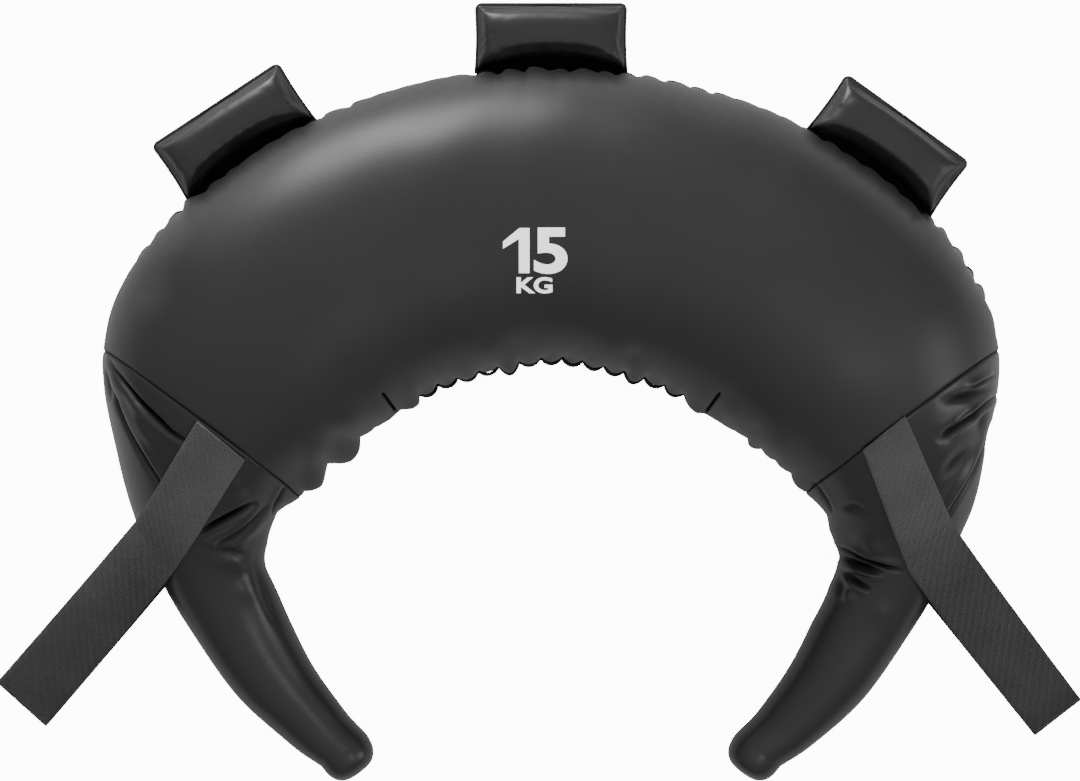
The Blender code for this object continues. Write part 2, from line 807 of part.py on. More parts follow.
def horn_surface(station, angle, offset):
    """A point at a height over the horn cover's skin, along the skin's own normal."""
    def at(s, a):
        return skin_point(s, a, cover_inset(s))
    step = NORMAL_STEP
    across = at(station, angle + step) - at(station, angle - step)
    along = at(station + step, angle) - at(station - step, angle)
    normal = across.cross(along).normalized()
    middle = body_frame(station)[0]
    point = at(station, angle)
    if normal.dot(point - middle) < 0:
        normal = -normal
    return point + normal * offset


def strap_frame(hand, flank_station, heading_angle):
    """Hinge of a loop, its axis along the outer seam, and the loop's heading and side."""
    flank = skin_point(hand * flank_station, 0.0)
    step = FRAME_STEP_STATION
    ahead = skin_point(hand * (flank_station + step), 0.0)
    behind = skin_point(hand * (flank_station - step), 0.0)
    axis = (ahead - behind).normalized()
    outwards = body_frame(hand * flank_station)[2]
    hinge = flank + outwards * (WEB_GAP + WEB_WALL + ROLL_GAP + ROLL_RADIUS + WEB_WALL / 2)
    heading = Vector((hand * math.sin(heading_angle), -math.cos(heading_angle), 0.0))
    sideways = Vector((-heading.y, heading.x, 0.0))
    return hinge, axis, heading, sideways


def skin_place(hand, spot):
    """Station and angle of the front skin over a spot in the plan."""
    def is_past(size):
        middle, along, _, _, _ = body_frame(hand * size)
        return (spot - middle).dot(along) * hand < 0
    size = first_true(is_past, CUFF_STATION - COVER_RISE_STATION, TIP_STATION)
    middle, _, outwards, half_width, _ = body_frame(hand * size)
    across = (spot - middle).dot(outwards) / (half_width - cover_inset(size))
    across = min(max(across, -1.0), 1.0)
    cosine = math.copysign(abs(across) ** (1.0 / ROUNDING_SHARE), across)
    return hand * size, math.acos(cosine)


def band_column(hand, seam, heading, sideways, place):
    """Station and angle of each row of the band along one line of the webbing."""
    def spot(distance):
        return (seam + heading * distance + sideways * place).xy.to_3d()

    def station_on_line(angle):
        def is_past(size):
            point = skin_point(hand * size, angle, cover_inset(size))
            return ((point - seam).dot(sideways) - place) * hand < 0
        return hand * first_true(is_past, CUFF_STATION, TIP_STATION)

    start_station = CUFF_STATION + STRAP_SEAM_GAP_STATION
    start = first_true(
        lambda distance: abs(skin_place(hand, spot(distance))[0]) > start_station,
        -WEB_WIDTH, WEB_WIDTH,
    )
    end = first_true(
        lambda distance: skin_place(hand, spot(distance))[1] < FLANK_ANGLE, start, start + DROP / 2,
    )
    column = []
    for i in range(BAND_TOP_ROWS):
        column.append(skin_place(hand, spot(start + (end - start) * i / BAND_TOP_ROWS)))
    for i in range(BAND_FLANK_ROWS):
        angle = FLANK_ANGLE * (1.0 - i / BAND_FLANK_ROWS)
        column.append((station_on_line(angle), angle))
    for i in range(BAND_REAR_ROWS + 1):
        angle = -REAR_WRAP_ANGLE * i / BAND_REAR_ROWS
        column.append((station_on_line(angle), angle))
    return column


def add_band(name, strap):
    """The band from the cuff seam over the front, round the flank and onto the rear."""
    _, hand, seam_share, plan_share, flank_station, _, _ = strap
    flank = skin_point(hand * flank_station, 0.0)
    seam_angle = math.acos(seam_share)
    seam = skin_point(hand * CUFF_STATION, seam_angle)
    heading = (flank - seam).xy.normalized().to_3d()
    sideways = Vector((-heading.y, heading.x, 0.0))
    plan_width = WEB_WIDTH * plan_share
    places = [plan_width * (i / WEB_COLUMNS - 0.5) for i in range(WEB_COLUMNS + 1)]
    columns = [band_column(hand, seam, heading, sideways, place) for place in places]
    inner_rows = [[horn_surface(*spot, WEB_GAP) for spot in row] for row in zip(*columns)]
    outer_rows = [[horn_surface(*spot, WEB_GAP + WEB_WALL) for spot in row] for row in zip(*columns)]
    return add_object(name, shell_mesh(name, outer_rows, inner_rows), "webbing")


def arc_points(centre, radius, start, end, steps):
    turns = [start + (end - start) * i / steps for i in range(steps + 1)]
    return [centre + Vector((math.cos(t), math.sin(t))) * radius for t in turns]


def bezier(a, b, c, d, steps):
    points = []
    for i in range(1, steps):
        t = i / steps
        points.append(a * (1 - t) ** 3 + b * 3 * t * (1 - t) ** 2 + c * 3 * t * t * (1 - t) + d * t ** 3)
    return points


def loop_path(root, tip_reach, radius_shift):
    """Closed path of the loop in its own plane, as (reach, height), on one face of the webbing."""
    low = FLOOR_GAP + WEB_WALL / 2
    tip = Vector((tip_reach - TIP_RADIUS - WEB_WALL / 2, low + TIP_RADIUS))
    front_angle = math.atan2(tip.y - root.y, tip.x - root.x)
    floor_point = Vector((root.x + LOOP_SPREAD, low + TIP_RADIUS))
    drop_angle = math.atan2(floor_point.y - root.y, floor_point.x - root.x)
    root_radius = ROLL_RADIUS + radius_shift
    tip_radius = TIP_RADIUS + radius_shift

    up = math.pi / 2
    path = arc_points(tip, tip_radius, -up, up + front_angle, ARC_STEPS)
    front_end = path[-1]
    root_arc = arc_points(root, root_radius, up + front_angle, 2 * math.pi + drop_angle - up, ARC_STEPS)
    for i in range(1, LAYER_STEPS):
        path.append(front_end.lerp(root_arc[0], i / LAYER_STEPS))
    path += root_arc
    leave = root_arc[-1]
    run = Vector((math.cos(drop_angle), math.sin(drop_angle))) * (root - floor_point).length * DROP_STIFFNESS_SHARE
    land = Vector((root.x + 2 * LOOP_SPREAD, tip.y - tip_radius))
    flat = Vector((LOOP_SPREAD, 0.0))
    path += bezier(leave, leave + run, land - flat, land, 2 * LAYER_STEPS)
    path.append(land)
    return path


def add_loop(name, strap):
    """The free loop: one layer to the tip and back, closed by the roll on its hinge."""
    _, hand, _, _, flank_station, heading_angle, free_length = strap
    hinge, axis, heading, sideways = strap_frame(hand, flank_station, heading_angle)
    outer_rows = []
    inner_rows = []
    for place in (-WEB_WIDTH / 2, 0.0, WEB_WIDTH / 2):
        root_point = axis * (place / axis.dot(sideways))
        root = Vector((root_point.dot(heading), hinge.z + root_point.z))
        for rows, shift in ((outer_rows, WEB_WALL / 2), (inner_rows, -WEB_WALL / 2)):
            path = loop_path(root, free_length, shift)
            rows.append([
                heading * point.x + sideways * place + Vector((0, 0, point.y - hinge.z))
                for point in path
            ])
    bm = bmesh.new()
    outer = to_verts(bm, outer_rows)
    inner = to_verts(bm, inner_rows)
    grid_faces(bm, outer, closed=True)
    grid_faces(bm, inner, closed=True)
    grid_faces(bm, [outer[0], inner[0]], closed=True)
    grid_faces(bm, [outer[-1], inner[-1]], closed=True)
    return add_object(name, finish_mesh(name, bm), "webbing", hinge)


# The whole bag
def build_bag():
    for name, side in (("front", 1), ("rear", -1)):
        add_panel(name + "_panel", side)
        add_fill(name + "_filling", side)
        add_facing(name + "_facing", side)
        for label, hand in (("left", -1), ("right", 1)):
            add_horn_cover(label + "_horn_" + name, side, hand)
    add_horn_core("left_horn_core", -1)
    add_horn_core("right_horn_core", 1)
    joint = SAND_JOINT_STATION
    gap = SAND_BREAK_STATION / 2
    add_sand_bag("sand_bag_left", -SAND_END_STATION, -joint - gap)
    add_sand_bag("sand_bag_middle", -joint + gap, joint - gap)
    add_sand_bag("sand_bag_right", joint + gap, SAND_END_STATION)
    add_lace("closure_lace")
    for label, station in HANDLE_STATIONS:
        add_handle(label, station)
    for strap in STRAPS:
        add_band("strap_" + strap[0] + "_band", strap)
        add_loop("strap_" + strap[0] + "_loop", strap)


clear_scene()
MATERIALS = make_materials()
BAG = bpy.data.objects.new("bag", None)
bpy.context.collection.objects.link(BAG)
STATION_ROWS = station_rows()
INNER_SEAM = seam_table(math.pi)
OUTER_SEAM = seam_table(0.0)
build_bag()
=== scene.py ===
"""Looks of the bulgarian bag: its filled leather skins, folds, lacing, handles and straps.

The bag lies on its back. All sizes are in metres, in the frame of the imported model.
"""

import math

import bmesh
import bpy
import numpy as np
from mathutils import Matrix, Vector
from mathutils.bvhtree import BVHTree


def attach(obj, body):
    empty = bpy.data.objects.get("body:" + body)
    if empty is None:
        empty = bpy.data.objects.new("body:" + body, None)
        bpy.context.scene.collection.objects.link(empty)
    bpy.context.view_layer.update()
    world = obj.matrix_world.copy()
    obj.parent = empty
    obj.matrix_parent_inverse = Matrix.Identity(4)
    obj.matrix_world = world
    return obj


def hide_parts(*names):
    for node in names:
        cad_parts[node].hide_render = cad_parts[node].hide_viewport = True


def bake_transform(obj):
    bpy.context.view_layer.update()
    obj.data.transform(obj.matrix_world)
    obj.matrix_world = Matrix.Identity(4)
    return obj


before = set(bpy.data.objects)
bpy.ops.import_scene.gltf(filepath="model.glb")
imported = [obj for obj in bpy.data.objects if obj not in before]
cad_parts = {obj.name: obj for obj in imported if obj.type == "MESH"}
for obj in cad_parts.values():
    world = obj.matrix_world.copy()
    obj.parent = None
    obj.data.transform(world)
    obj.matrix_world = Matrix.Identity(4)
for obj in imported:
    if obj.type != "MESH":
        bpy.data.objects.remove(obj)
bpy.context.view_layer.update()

MM = 0.001

# Camera: straight above, as the photograph was taken. Pixels are of its 1080 x 781 frame.
PHOTO_MIDDLE = (540.0, 390.5)
CAMERA_PLACE = Vector((-0.0084, -0.1346, 3.084))
CAMERA_SENSOR = 36.0
CAMERA_LENS = 131.48
PHOTO_WIDTH = 1080.0
PIXEL_SLOPE = CAMERA_SENSOR / CAMERA_LENS / PHOTO_WIDTH
SEAM_HEIGHT = 0.084
MID_PIXEL = PIXEL_SLOPE * (CAMERA_PLACE.z - SEAM_HEIGHT)

# Body: its sections along one spline of stations, as in the model's source
HALF_SPREAD = 0.273
DROP = 0.4135
CROWN_HALF_WIDTH = 0.1122
CROWN_HALF_DEPTH = 0.096
ROUNDING_SHARE = 0.93
STATION_SHARES = (
    (0.000, 0.000, 1.000, 1.000, 0.875, 0.000),
    (0.396, 0.050, 1.005, 1.000, 0.875, 0.109),
    (0.680, 0.149, 0.994, 0.990, 0.873, 0.208),
    (0.870, 0.266, 0.967, 0.940, 0.835, 0.267),
    (0.986, 0.382, 0.796, 0.830, 0.755, 0.300),
    (0.999, 0.507, 0.570, 0.640, 0.680, 0.370),
    (0.975, 0.625, 0.404, 0.460, 0.535, 0.475),
    (0.897, 0.739, 0.332, 0.375, 0.420, 0.605),
    (0.791, 0.870, 0.280, 0.320, 0.325, 0.651),
    (0.677, 0.956, 0.227, 0.275, 0.275, 0.684),
    (0.590, 1.000, 0.194, 0.255, 0.250, 0.705),
)
TIP_STATION = len(STATION_SHARES) - 1
END_STATION = TIP_STATION + 1
CUFF_STATION = 4.0
MIRROR = np.array((-1, 1, 1, 1, 1, -1))
TIP_SQUARENESS = 0.72
FLOOR_ROUNDING_SHARE = 0.06

# Seams
OUTER_SEAM_ANGLE = 0.05
SEAM_PINCH = 0.0030
SEAM_PINCH_WIDTH = 0.0028
HEM_DEPTH = 0.0030
CUFF_BOW = 0.12
DART_STATION = 2.0
DART_METRES = 0.051
DART_DEPTH = 0.0028
DART_WIDTH = 0.0009
DART_LENGTH = 0.054
CUFF_METRES = 0.045
CUFF_SEAM_SHADE = 0.75
CUFF_GROOVE_DEPTH = 0.0013
CUFF_GROOVE_WIDTH = 0.0007
LIP_FULLNESS = 0.0018
LACE_FORWARD = 0.0029
LIP_DRAW_REACH = 0.022
LIP_CLEARANCE = 0.0004
LIP_SPREAD_ANGLE = 0.3
UNEVEN_FADE = 0.02
CUFF_FADE = 0.4
DART_FADE = 0.003
TIP_FADE_START = 0.2
TIP_FADE = 0.5

# Laced opening, as in the model's source
LACE_TURNS = 13
LACE_PITCH = 0.016
LACED_HALF = LACE_TURNS * LACE_PITCH / 2
LACE_POINTS = 24
LACE_DIAMETER = 0.0028
GROOVE_DEPTH = 0.010
GROOVE_ANGLE = 0.085
GROOVE_FADE = 0.030
FACING_WALL = 0.0014
FACING_GAP = 0.0004
FACING_INSIDE = 0.008
FACING_LIP = 0.007
FACING_END = 0.010
HOLE_SETBACK = 0.0035
LACE_DWELL_SHARE = 0.8
LACE_REACH = 0.0022
LACE_RISE = 0.0039

# Handles: their stations on the outer seam
HANDLES = (("left", -1.74), ("top", 0.0), ("right", 1.89))
HANDLE_LENGTH = 0.1168
# Painted shadow under each handle on the front, along the outer seam; a thin strip at the seam's edge is
# left out of it.
HANDLE_SHADE = 0.55
HANDLE_SHADE_PLAN = (0.0030, 0.0030)
HANDLE_SHADE_FADE = 0.0130
HANDLE_SHADE_INSIDE = 0.012
HANDLE_SHADE_END_FADE = 0.018
SECTION_RADIUS = 0.085
SEAM_EDGE = 0.0003
SEAM_GLINT = 0.0010

rng = np.random.default_rng(15)


# Small helpers
def eased(value):
    value = np.clip(value, 0.0, 1.0)
    return value * value * (3.0 - 2.0 * value)


def bell(value):
    return np.exp(-value * value)


def rounded(value):
    return np.sign(value) * np.abs(value) ** ROUNDING_SHARE


def unit(vectors):
    length = np.linalg.norm(vectors, axis=-1, keepdims=True)
    return vectors / np.maximum(length, 1e-12)


def running(steps):
    """Length up to each point, from the steps between the points."""
    return np.concatenate(([0.0], np.cumsum(steps)))


def outward(heading):
    return np.stack((np.sin(heading), np.cos(heading), np.zeros_like(heading)), -1)


# The body's surface
def station_rows():
    shares = np.array(STATION_SHARES)
    scale = np.array((
        HALF_SPREAD, -DROP, CROWN_HALF_WIDTH, CROWN_HALF_DEPTH, CROWN_HALF_DEPTH, math.pi,
    ))
    rows = shares * scale
    return np.vstack((rows[1] * MIRROR, rows, 2 * rows[-1] - rows[-2]))


ROWS = station_rows()


def station_values(stations):
    """Middle x and y, half width, half depth, seam height and heading, by Catmull-Rom."""
    size = np.minimum(np.abs(stations), TIP_STATION)
    first = np.minimum(size.astype(int), TIP_STATION - 1)
    part = (size - first)[..., None]
    a, b, c, d = ROWS[first], ROWS[first + 1], ROWS[first + 2], ROWS[first + 3]
    values = (
        2 * b
        + (c - a) * part
        + (2 * a - 5 * b + 4 * c - d) * part ** 2
        + (3 * b - a - 3 * c + d) * part ** 3
    ) / 2
    return np.where(stations[..., None] < 0, values * MIRROR, values)


def base_points(stations, angles):
    """Points of the plain body: angle 0 is the outer seam, pi the inner one, positive in front."""
    x, y, half_width, half_depth, height, heading = np.moveaxis(station_values(stations), -1, 0)
    turn = np.clip(np.abs(stations) - TIP_STATION, 0.0, 1.0) * math.pi / 2
    narrow = np.maximum(np.cos(turn), 0.0) ** TIP_SQUARENESS
    reach = np.sign(stations) * half_width * np.sin(turn) ** TIP_SQUARENESS
    across = half_width * narrow * rounded(np.cos(angles))
    rise = half_depth * narrow * rounded(np.sin(angles))
    out_x, out_y = np.sin(heading), np.cos(heading)
    z = height + rise
    softness = FLOOR_ROUNDING_SHARE * half_depth
    z = (z + np.sqrt(z * z + softness * softness)) / 2
    return np.stack((x + out_x * across + out_y * reach, y + out_y * across - out_x * reach, z), -1)


def base_normals(stations, angles):
    step = 0.01
    inside = np.clip(stations, -END_STATION + step, END_STATION - step)
    around = base_points(inside, angles + step) - base_points(inside, angles - step)
    along = base_points(inside + step, angles) - base_points(inside - step, angles)
    return unit(np.cross(around, along))


# Lengths over the body: along each seam, and round each section from seam to seam
TABLE_STATIONS = np.linspace(-END_STATION, END_STATION, 881)
TABLE_STEPS = 96


def seam_lengths(angle):
    points = base_points(TABLE_STATIONS, np.full_like(TABLE_STATIONS, angle))
    total = running(np.linalg.norm(np.diff(points, axis=0), axis=1))
    return total - total[len(total) // 2]


OUTER_LENGTHS = seam_lengths(0.0)
INNER_LENGTHS = seam_lengths(math.pi)


def outer_length(stations):
    return np.interp(stations, TABLE_STATIONS, OUTER_LENGTHS)


def inner_length(stations):
    return np.interp(stations, TABLE_STATIONS, INNER_LENGTHS)


def girth_table(side):
    start = OUTER_SEAM_ANGLE
    end = math.pi if side > 0 else -math.pi
    angles = np.linspace(start, end, TABLE_STEPS + 1)
    stations, all_angles = np.meshgrid(TABLE_STATIONS, angles, indexing="ij")
    steps = np.linalg.norm(np.diff(base_points(stations, all_angles), axis=1), axis=2)
    lengths = np.concatenate((np.zeros((len(TABLE_STATIONS), 1)), np.cumsum(steps, axis=1)), axis=1)
    return angles, lengths


GIRTHS = {side: girth_table(side) for side in (1, -1)}


def row_place(stations):
    spot = (stations + END_STATION) / (2 * END_STATION) * (len(TABLE_STATIONS) - 1)
    first = np.clip(spot.astype(int), 0, len(TABLE_STATIONS) - 2)
    return first, spot - first


def girth_at(side, stations, angles):
    """Length over the skin from the outer seam, and the whole length to the inner seam."""
    table_angles, lengths = GIRTHS[side]
    first, part = row_place(stations)
    spot = (angles - table_angles[0]) / (table_angles[-1] - table_angles[0]) * TABLE_STEPS
    column = np.clip(spot.astype(int), 0, TABLE_STEPS - 1)
    share = spot - column
    low = lengths[first, column] * (1 - share) + lengths[first, column + 1] * share
    high = lengths[first + 1, column] * (1 - share) + lengths[first + 1, column + 1] * share
    total = lengths[first, -1] * (1 - part) + lengths[first + 1, -1] * part
    return low * (1 - part) + high * part, total


def angles_at_shares(side, stations, shares):
    """Angles that stand at these shares of the length round each section."""
    table_angles, lengths = GIRTHS[side]
    first, part = row_place(stations)
    rows = lengths[first] * (1 - part[:, None]) + lengths[first + 1] * part[:, None]
    return np.stack([np.interp(shares * row[-1], row, table_angles) for row in rows])


# Places in the photograph
def to_pixels(points):
    scale = PIXEL_SLOPE * (CAMERA_PLACE.z - points[..., 2])
    x = PHOTO_MIDDLE[0] + (points[..., 0] - CAMERA_PLACE.x) / scale
    y = PHOTO_MIDDLE[1] - (points[..., 1] - CAMERA_PLACE.y) / scale
    return np.stack((x, y), -1)


def pixel_direction(pixel):
    x = (pixel[0] - PHOTO_MIDDLE[0]) * PIXEL_SLOPE
    y = -(pixel[1] - PHOTO_MIDDLE[1]) * PIXEL_SLOPE
    return Vector((x, y, -1.0))


def pixel_at_height(pixel, height):
    return CAMERA_PLACE + pixel_direction(pixel) * (CAMERA_PLACE.z - height)


def line_distance(places, line):
    """Signed distance of pixels from a polyline, and their place along it as a share."""
    line = np.array(line, float)
    steps = np.diff(line, axis=0)
    lengths = np.linalg.norm(steps, axis=1)
    before = running(lengths)
    best = np.full(places.shape[:-1], 1e9)
    signed = np.zeros(places.shape[:-1])
    share = np.zeros(places.shape[:-1])
    for start, step, length, past in zip(line[:-1], steps, lengths, before[:-1]):
        away = places - start
        along = np.clip((away @ step) / length ** 2, 0.0, 1.0)
        rest = away - along[..., None] * step
        distance = np.linalg.norm(rest, axis=-1)
        side = np.sign(step[0] * away[..., 1] - step[1] * away[..., 0])
        nearer = distance < best
        best = np.where(nearer, distance, best)
        signed = np.where(nearer, distance * side, signed)
        share = np.where(nearer, (past + along * length) / before[-1], share)
    return signed, share


# Gathers along the seams: valleys that start at a seam and fade over the skin, with rounded lobes
# between them. Each has its place along the seam, depth, width, reach, lean and skew.
GATHER_WIDENING = 0.28
GATHER_POWER = 1.25
GATHER_FADE_POWER = 1.3


def gather_depth(gathers, along, away):
    total = np.zeros_like(along)
    for place, depth, width, reach, lean, skew in gathers:
        near = np.abs(along - place) < 7 * width + np.abs(lean) * 3 * reach + reach
        if not near.any() or not depth:
            continue
        offset = along[near] - place - lean * away[near]
        wide = (width + GATHER_WIDENING * away[near]) * (1 - skew * np.sign(offset))
        fade = np.exp(-(away[near] / reach) ** GATHER_FADE_POWER)
        total[near] += depth * np.exp(-np.abs(offset / wide) ** GATHER_POWER) * fade
    return total


# How far the horns bend towards each other below their necks: left, right
HORN_BENDS = (0.0034, 0.0022)
BEND_STATION = 8.5
BEND_WIDTH = 1.1

# Share of the full gather depth along the outer seam, by station
OUTER_KNOTS = (
    (-4.0, 0.0), (-3.2, 0.0), (-2.85, 0.3), (-2.75, 1.0), (-2.2, 1.0), (-2.05, 0.6), (-1.3, 0.5),
    (-1.1, 0.6), (-0.9, 0.1), (-0.5, 0.1), (-0.35, 1.0), (0.35, 1.0), (0.5, 0.6), (0.8, 0.6),
    (0.95, 0.2), (1.3, 0.15), (1.5, 0.6), (2.2, 0.7), (2.35, 1.0), (3.3, 1.0), (3.8, 0.4), (4.0, 0.0),
)
OUTER_PITCH = 0.0180
OUTER_DEPTH = 0.0058
OUTER_WIDTH = 0.0034
OUTER_REACH = 0.015
OUTER_SKEW = 0.5


def outer_gathers():
    gathers = []
    knots = np.array(OUTER_KNOTS)
    knot_lengths = outer_length(knots[:, 0])
    place = knot_lengths[0]
    while place < knot_lengths[-1]:
        share = float(np.interp(place, knot_lengths, knots[:, 1]))
        depth = OUTER_DEPTH * share * rng.uniform(0.7, 1.2)
        width = OUTER_WIDTH * rng.uniform(0.8, 1.2)
        reach = OUTER_REACH * (0.4 + share) * rng.uniform(0.6, 1.4)
        lean = rng.uniform(-0.35, 0.35)
        gathers.append((place, depth, width, reach, lean, OUTER_SKEW * rng.uniform(-0.2, 1.2)))
        place += OUTER_PITCH * rng.uniform(0.85, 1.2)
    return gathers


# Valleys of the inner seam between the laced opening and the cuffs, by their pixels
INNER_VALLEYS = (
    (398, 408, 0.0036, 0.0026), (364, 438, 0.0120, 0.0062),
    (328, 468, 0.0130, 0.0062), (303, 491, 0.0050, 0.0040),
    (709.7, 412, 0.0036, 0.0026), (744, 438, 0.0090, 0.0055),
    (762, 452, 0.0075, 0.0050), (776, 462, 0.0045, 0.0045), (790, 473, 0.0060, 0.0050),
    (806, 489, 0.0030, 0.0040),
)
INNER_REACH = 0.024
# How far the filling presses the skin out beside the inner seam, in millimetres, by pixel
INNER_PUSHES = (
    (264, 570, 0.0), (267, 545, 3.0), (270, 530, 2.2), (276, 512, 1.5), (288, 499, 7.5), (303, 491, 12.0),
    (318, 481, 14.0), (336, 464, 8.0), (350, 458, 10.0), (362, 440, 9.0), (375, 427, 2.2), (390, 417, 4.0),
    (402, 408, 4.5), (412, 407, 7.0), (419, 403, 7.0), (424, 396, 0.0),
    (684, 396, 0.5), (690, 408, 4.5), (697, 413, 7.0), (704, 412, 6.0), (712, 414, 4.0), (722, 423, 1.5),
    (738, 428, 0.5), (748, 445, 4.5), (756, 450, 3.0), (770, 455, 1.0), (784, 466, 1.5), (794, 480, 5.0),
    (806, 489, 6.5), (818, 496, 3.5), (832, 513, 1.0), (835, 528, 4.0), (837, 543, 3.8), (838, 556, 0.0),
    (828, 592, -2.5), (815, 625, 0.0),
)
INNER_PUSH_REACH = 0.026
PUSH_STATION = 8.0
LIP_VALLEY_DEPTH = 0.0050
LIP_VALLEY_WIDTH = 0.0032
LIP_VALLEY_REACH = 0.012
LIP_AWAY = 0.011
# How far each lobe between two lacing holes hangs, in millimetres, from left to right
LOBE_DROPS = (1.4, 1.1, 1.5, 0.2, 5.0, 1.3, 1.0, 1.3, 1.5, 1.6, 3.4, 0.0, 1.3)
LACE_LEAST_DROP = 1.2
LACE_DROPS = tuple(max(drop, LACE_LEAST_DROP) - LACE_LEAST_DROP for drop in LOBE_DROPS)
LOBE_WIDTH_SHARE = 0.42


def inner_seam_length_at_pixel(x, y):
    stations = np.linspace(-PUSH_STATION, PUSH_STATION, 3201)
    pixels = to_pixels(base_points(stations, np.full_like(stations, math.pi)))
    nearest = np.argmin(np.linalg.norm(pixels - np.array((x, y)), axis=1))
    return float(inner_length(stations[nearest]))


def inner_push(lengths):
    return np.interp(lengths, PUSH_LENGTHS, PUSH_SIZES) * MM


def inner_gathers():
    gathers = []
    for x, y, depth, width in INNER_VALLEYS:
        reach = INNER_REACH * rng.uniform(0.8, 1.2)
        lean = rng.uniform(-0.3, 0.3)
        gathers.append((inner_seam_length_at_pixel(x, y), depth, width, reach, lean, 0.0))
    return gathers


def lip_gathers():
    gathers = []
    for i in range(LACE_TURNS + 1):
        depth = LIP_VALLEY_DEPTH * rng.uniform(0.8, 1.1)
        width = LIP_VALLEY_WIDTH * rng.uniform(0.85, 1.15)
        reach = LIP_VALLEY_REACH * rng.uniform(0.7, 1.5)
        lean = rng.uniform(-0.25, 0.25)
        gathers.append((LACE_PITCH * i - LACED_HALF, depth, width, reach, lean, 0.0))
    return gathers


def lobe_drop(lengths, drops):
    """How far the lobes between the lacing holes, or the lace's loops, hang below the plain lip."""
    total = np.zeros_like(lengths)
    for i, drop in enumerate(drops):
        middle = LACE_PITCH * (i + 0.5) - LACED_HALF
        total += drop * MM * bell((lengths - middle) / (LACE_PITCH * LOBE_WIDTH_SHARE))
    return total


PUSH_LENGTHS = np.array([inner_seam_length_at_pixel(x, y) for x, y, _ in INNER_PUSHES])
PUSH_SIZES = np.array([size for _, _, size in INNER_PUSHES])[np.argsort(PUSH_LENGTHS)]
PUSH_LENGTHS = np.sort(PUSH_LENGTHS)
OUTER_GATHERS = outer_gathers()
INNER_GATHERS = inner_gathers()
LIP_GATHERS = lip_gathers()


# Folds in the skin, by their lines in the photograph: the line, the valley's width and depth, and
# the ridge beside it, which lies to the right of the line as it runs where it is positive
FOLDS = (
    (
        ((108, 356), (113, 368), (123, 382), (138, 400), (156, 418), (170, 432), (184, 441), (198, 449)),
        1.7, 5.6, 1.2,
    ),
    (((111, 384), (119, 409), (128, 429), (138, 449), (148, 466), (160, 484), (170, 500)), 1.5, 5.2, -1.0),
    (((105, 366), (108, 384), (112, 402)), 2.0, 2.6, -0.8),
    (((188, 428), (206, 440), (224, 452)), 5.0, 1.2, 0.8),
    (((196, 535), (204, 531), (217, 523), (232, 515), (258, 501)), 1.8, 6.0, 2.4),
    (((212, 552), (220, 546), (238, 533), (250, 522), (272, 500)), 1.9, 2.8, 2.0),
    (((208, 552), (228, 550), (250, 556)), 3.4, 2.2, 1.4),
    (((286, 484), (280, 492), (274, 502), (270, 514)), 1.1, 2.6, 1.0),
    (((251, 553), (258, 575), (268, 605), (281, 636)), 3.4, 1.6, 0.8),
    (((996, 375), (984, 382), (968, 391)), 1.2, 2.6, 1.6),
    (((996, 388), (974, 394), (954, 399), (936, 404)), 3.4, 3.4, -0.4),
    (((999, 394), (980, 409), (966, 420), (946, 436)), 1.2, 3.6, -1.8),
    (((966, 420), (953, 430), (936, 442)), 3.2, 3.2, 0.3),
    (((990, 404), (983, 420), (975, 436)), 3.6, 2.2, 1.0),
    (((972, 442), (956, 462), (938, 484)), 4.5, 2.6, 0.4),
    (((993, 420), (985, 446), (974, 470), (962, 492), (949, 514), (941, 528)), 1.4, 5.4, 2.4),
    (((838, 546), (850, 554), (866, 562), (884, 567), (904, 571)), 1.6, 5.8, -1.8),
    (((838, 557), (848, 561), (862, 566), (884, 574)), 1.7, 4.8, 3.0),
    (((843, 572), (856, 582), (871, 591)), 1.5, 3.8, 2.4),
    (((842, 508), (854, 507), (866, 509)), 2.2, 1.8, 0.8),
    (((812, 481), (820, 489), (828, 500), (834, 514)), 1.2, 2.4, -0.8),
    (((838, 575), (840, 588), (842, 602)), 3.0, 2.0, 0.8),
)
# Broad ridges between the folds: the line, the width and the height
RIDGES = (
    (((122, 392), (138, 420), (152, 442), (166, 460)), 7.0, 3.2),
    (((208, 544), (228, 533), (248, 519), (264, 507)), 2.6, 2.4),
    (((226, 489), (240, 486), (250, 482)), 7.0, 1.6),
    (((990, 381), (978, 387), (968, 393)), 1.3, 1.4),
    (((992, 395), (978, 405), (964, 416), (950, 428)), 1.3, 1.6),
    (((989, 456), (976, 500), (960, 536)), 3.4, 1.8),
    (((860, 548), (876, 550), (892, 556)), 6.0, 1.6),
    (((852, 568), (866, 573), (884, 579)), 1.6, 1.6),
)
# Soft lumps of the filling, by their pixels: place, radius and height
LUMPS = (
    (236, 562, 12, 1.2), (246, 590, 12, 1.2), (490, 352, 14, 1.4), (520, 346, 12, -1.2),
    (186, 203, 11, 3.0), (146, 285, 26, -3.0), (936, 222, 12, 2.0),
    (610, 350, 16, 1.2), (634, 356, 9, -1.4), (414, 392, 10, 1.2), (350, 420, 13, 2.2),
    (338, 442, 11, -1.6), (318, 454, 11, 1.6), (304, 468, 9, -1.2), (700, 398, 12, 1.4),
    (729, 412, 11, 1.5), (752, 432, 10, -1.4), (775, 446, 10, 1.2), (848, 596, 7, 3.0),
    (882, 614, 10, 0.9), (846, 540, 9, -1.6), (847, 557, 7, -2.0), (872, 548, 9, 1.2),
    (380, 410, 12, 1.6),
)
REAR_FOLD_SHARE = 0.35
REAR_FOLD_FADE = 0.020
FOLD_SHADE_DEPTH = 4.6
FOLD_SHADE_WIDTH = 0.85
RIDGE_AWAY = 2.4
RIDGE_WIDTH = 2.0


def taper_of(share, width):
    """Share of a fold's height along it: a wide fold fades more slowly towards its ends."""
    return np.abs(np.sin(math.pi * np.clip(share, 0.0, 1.0))) ** (0.25 + 0.35 * width)


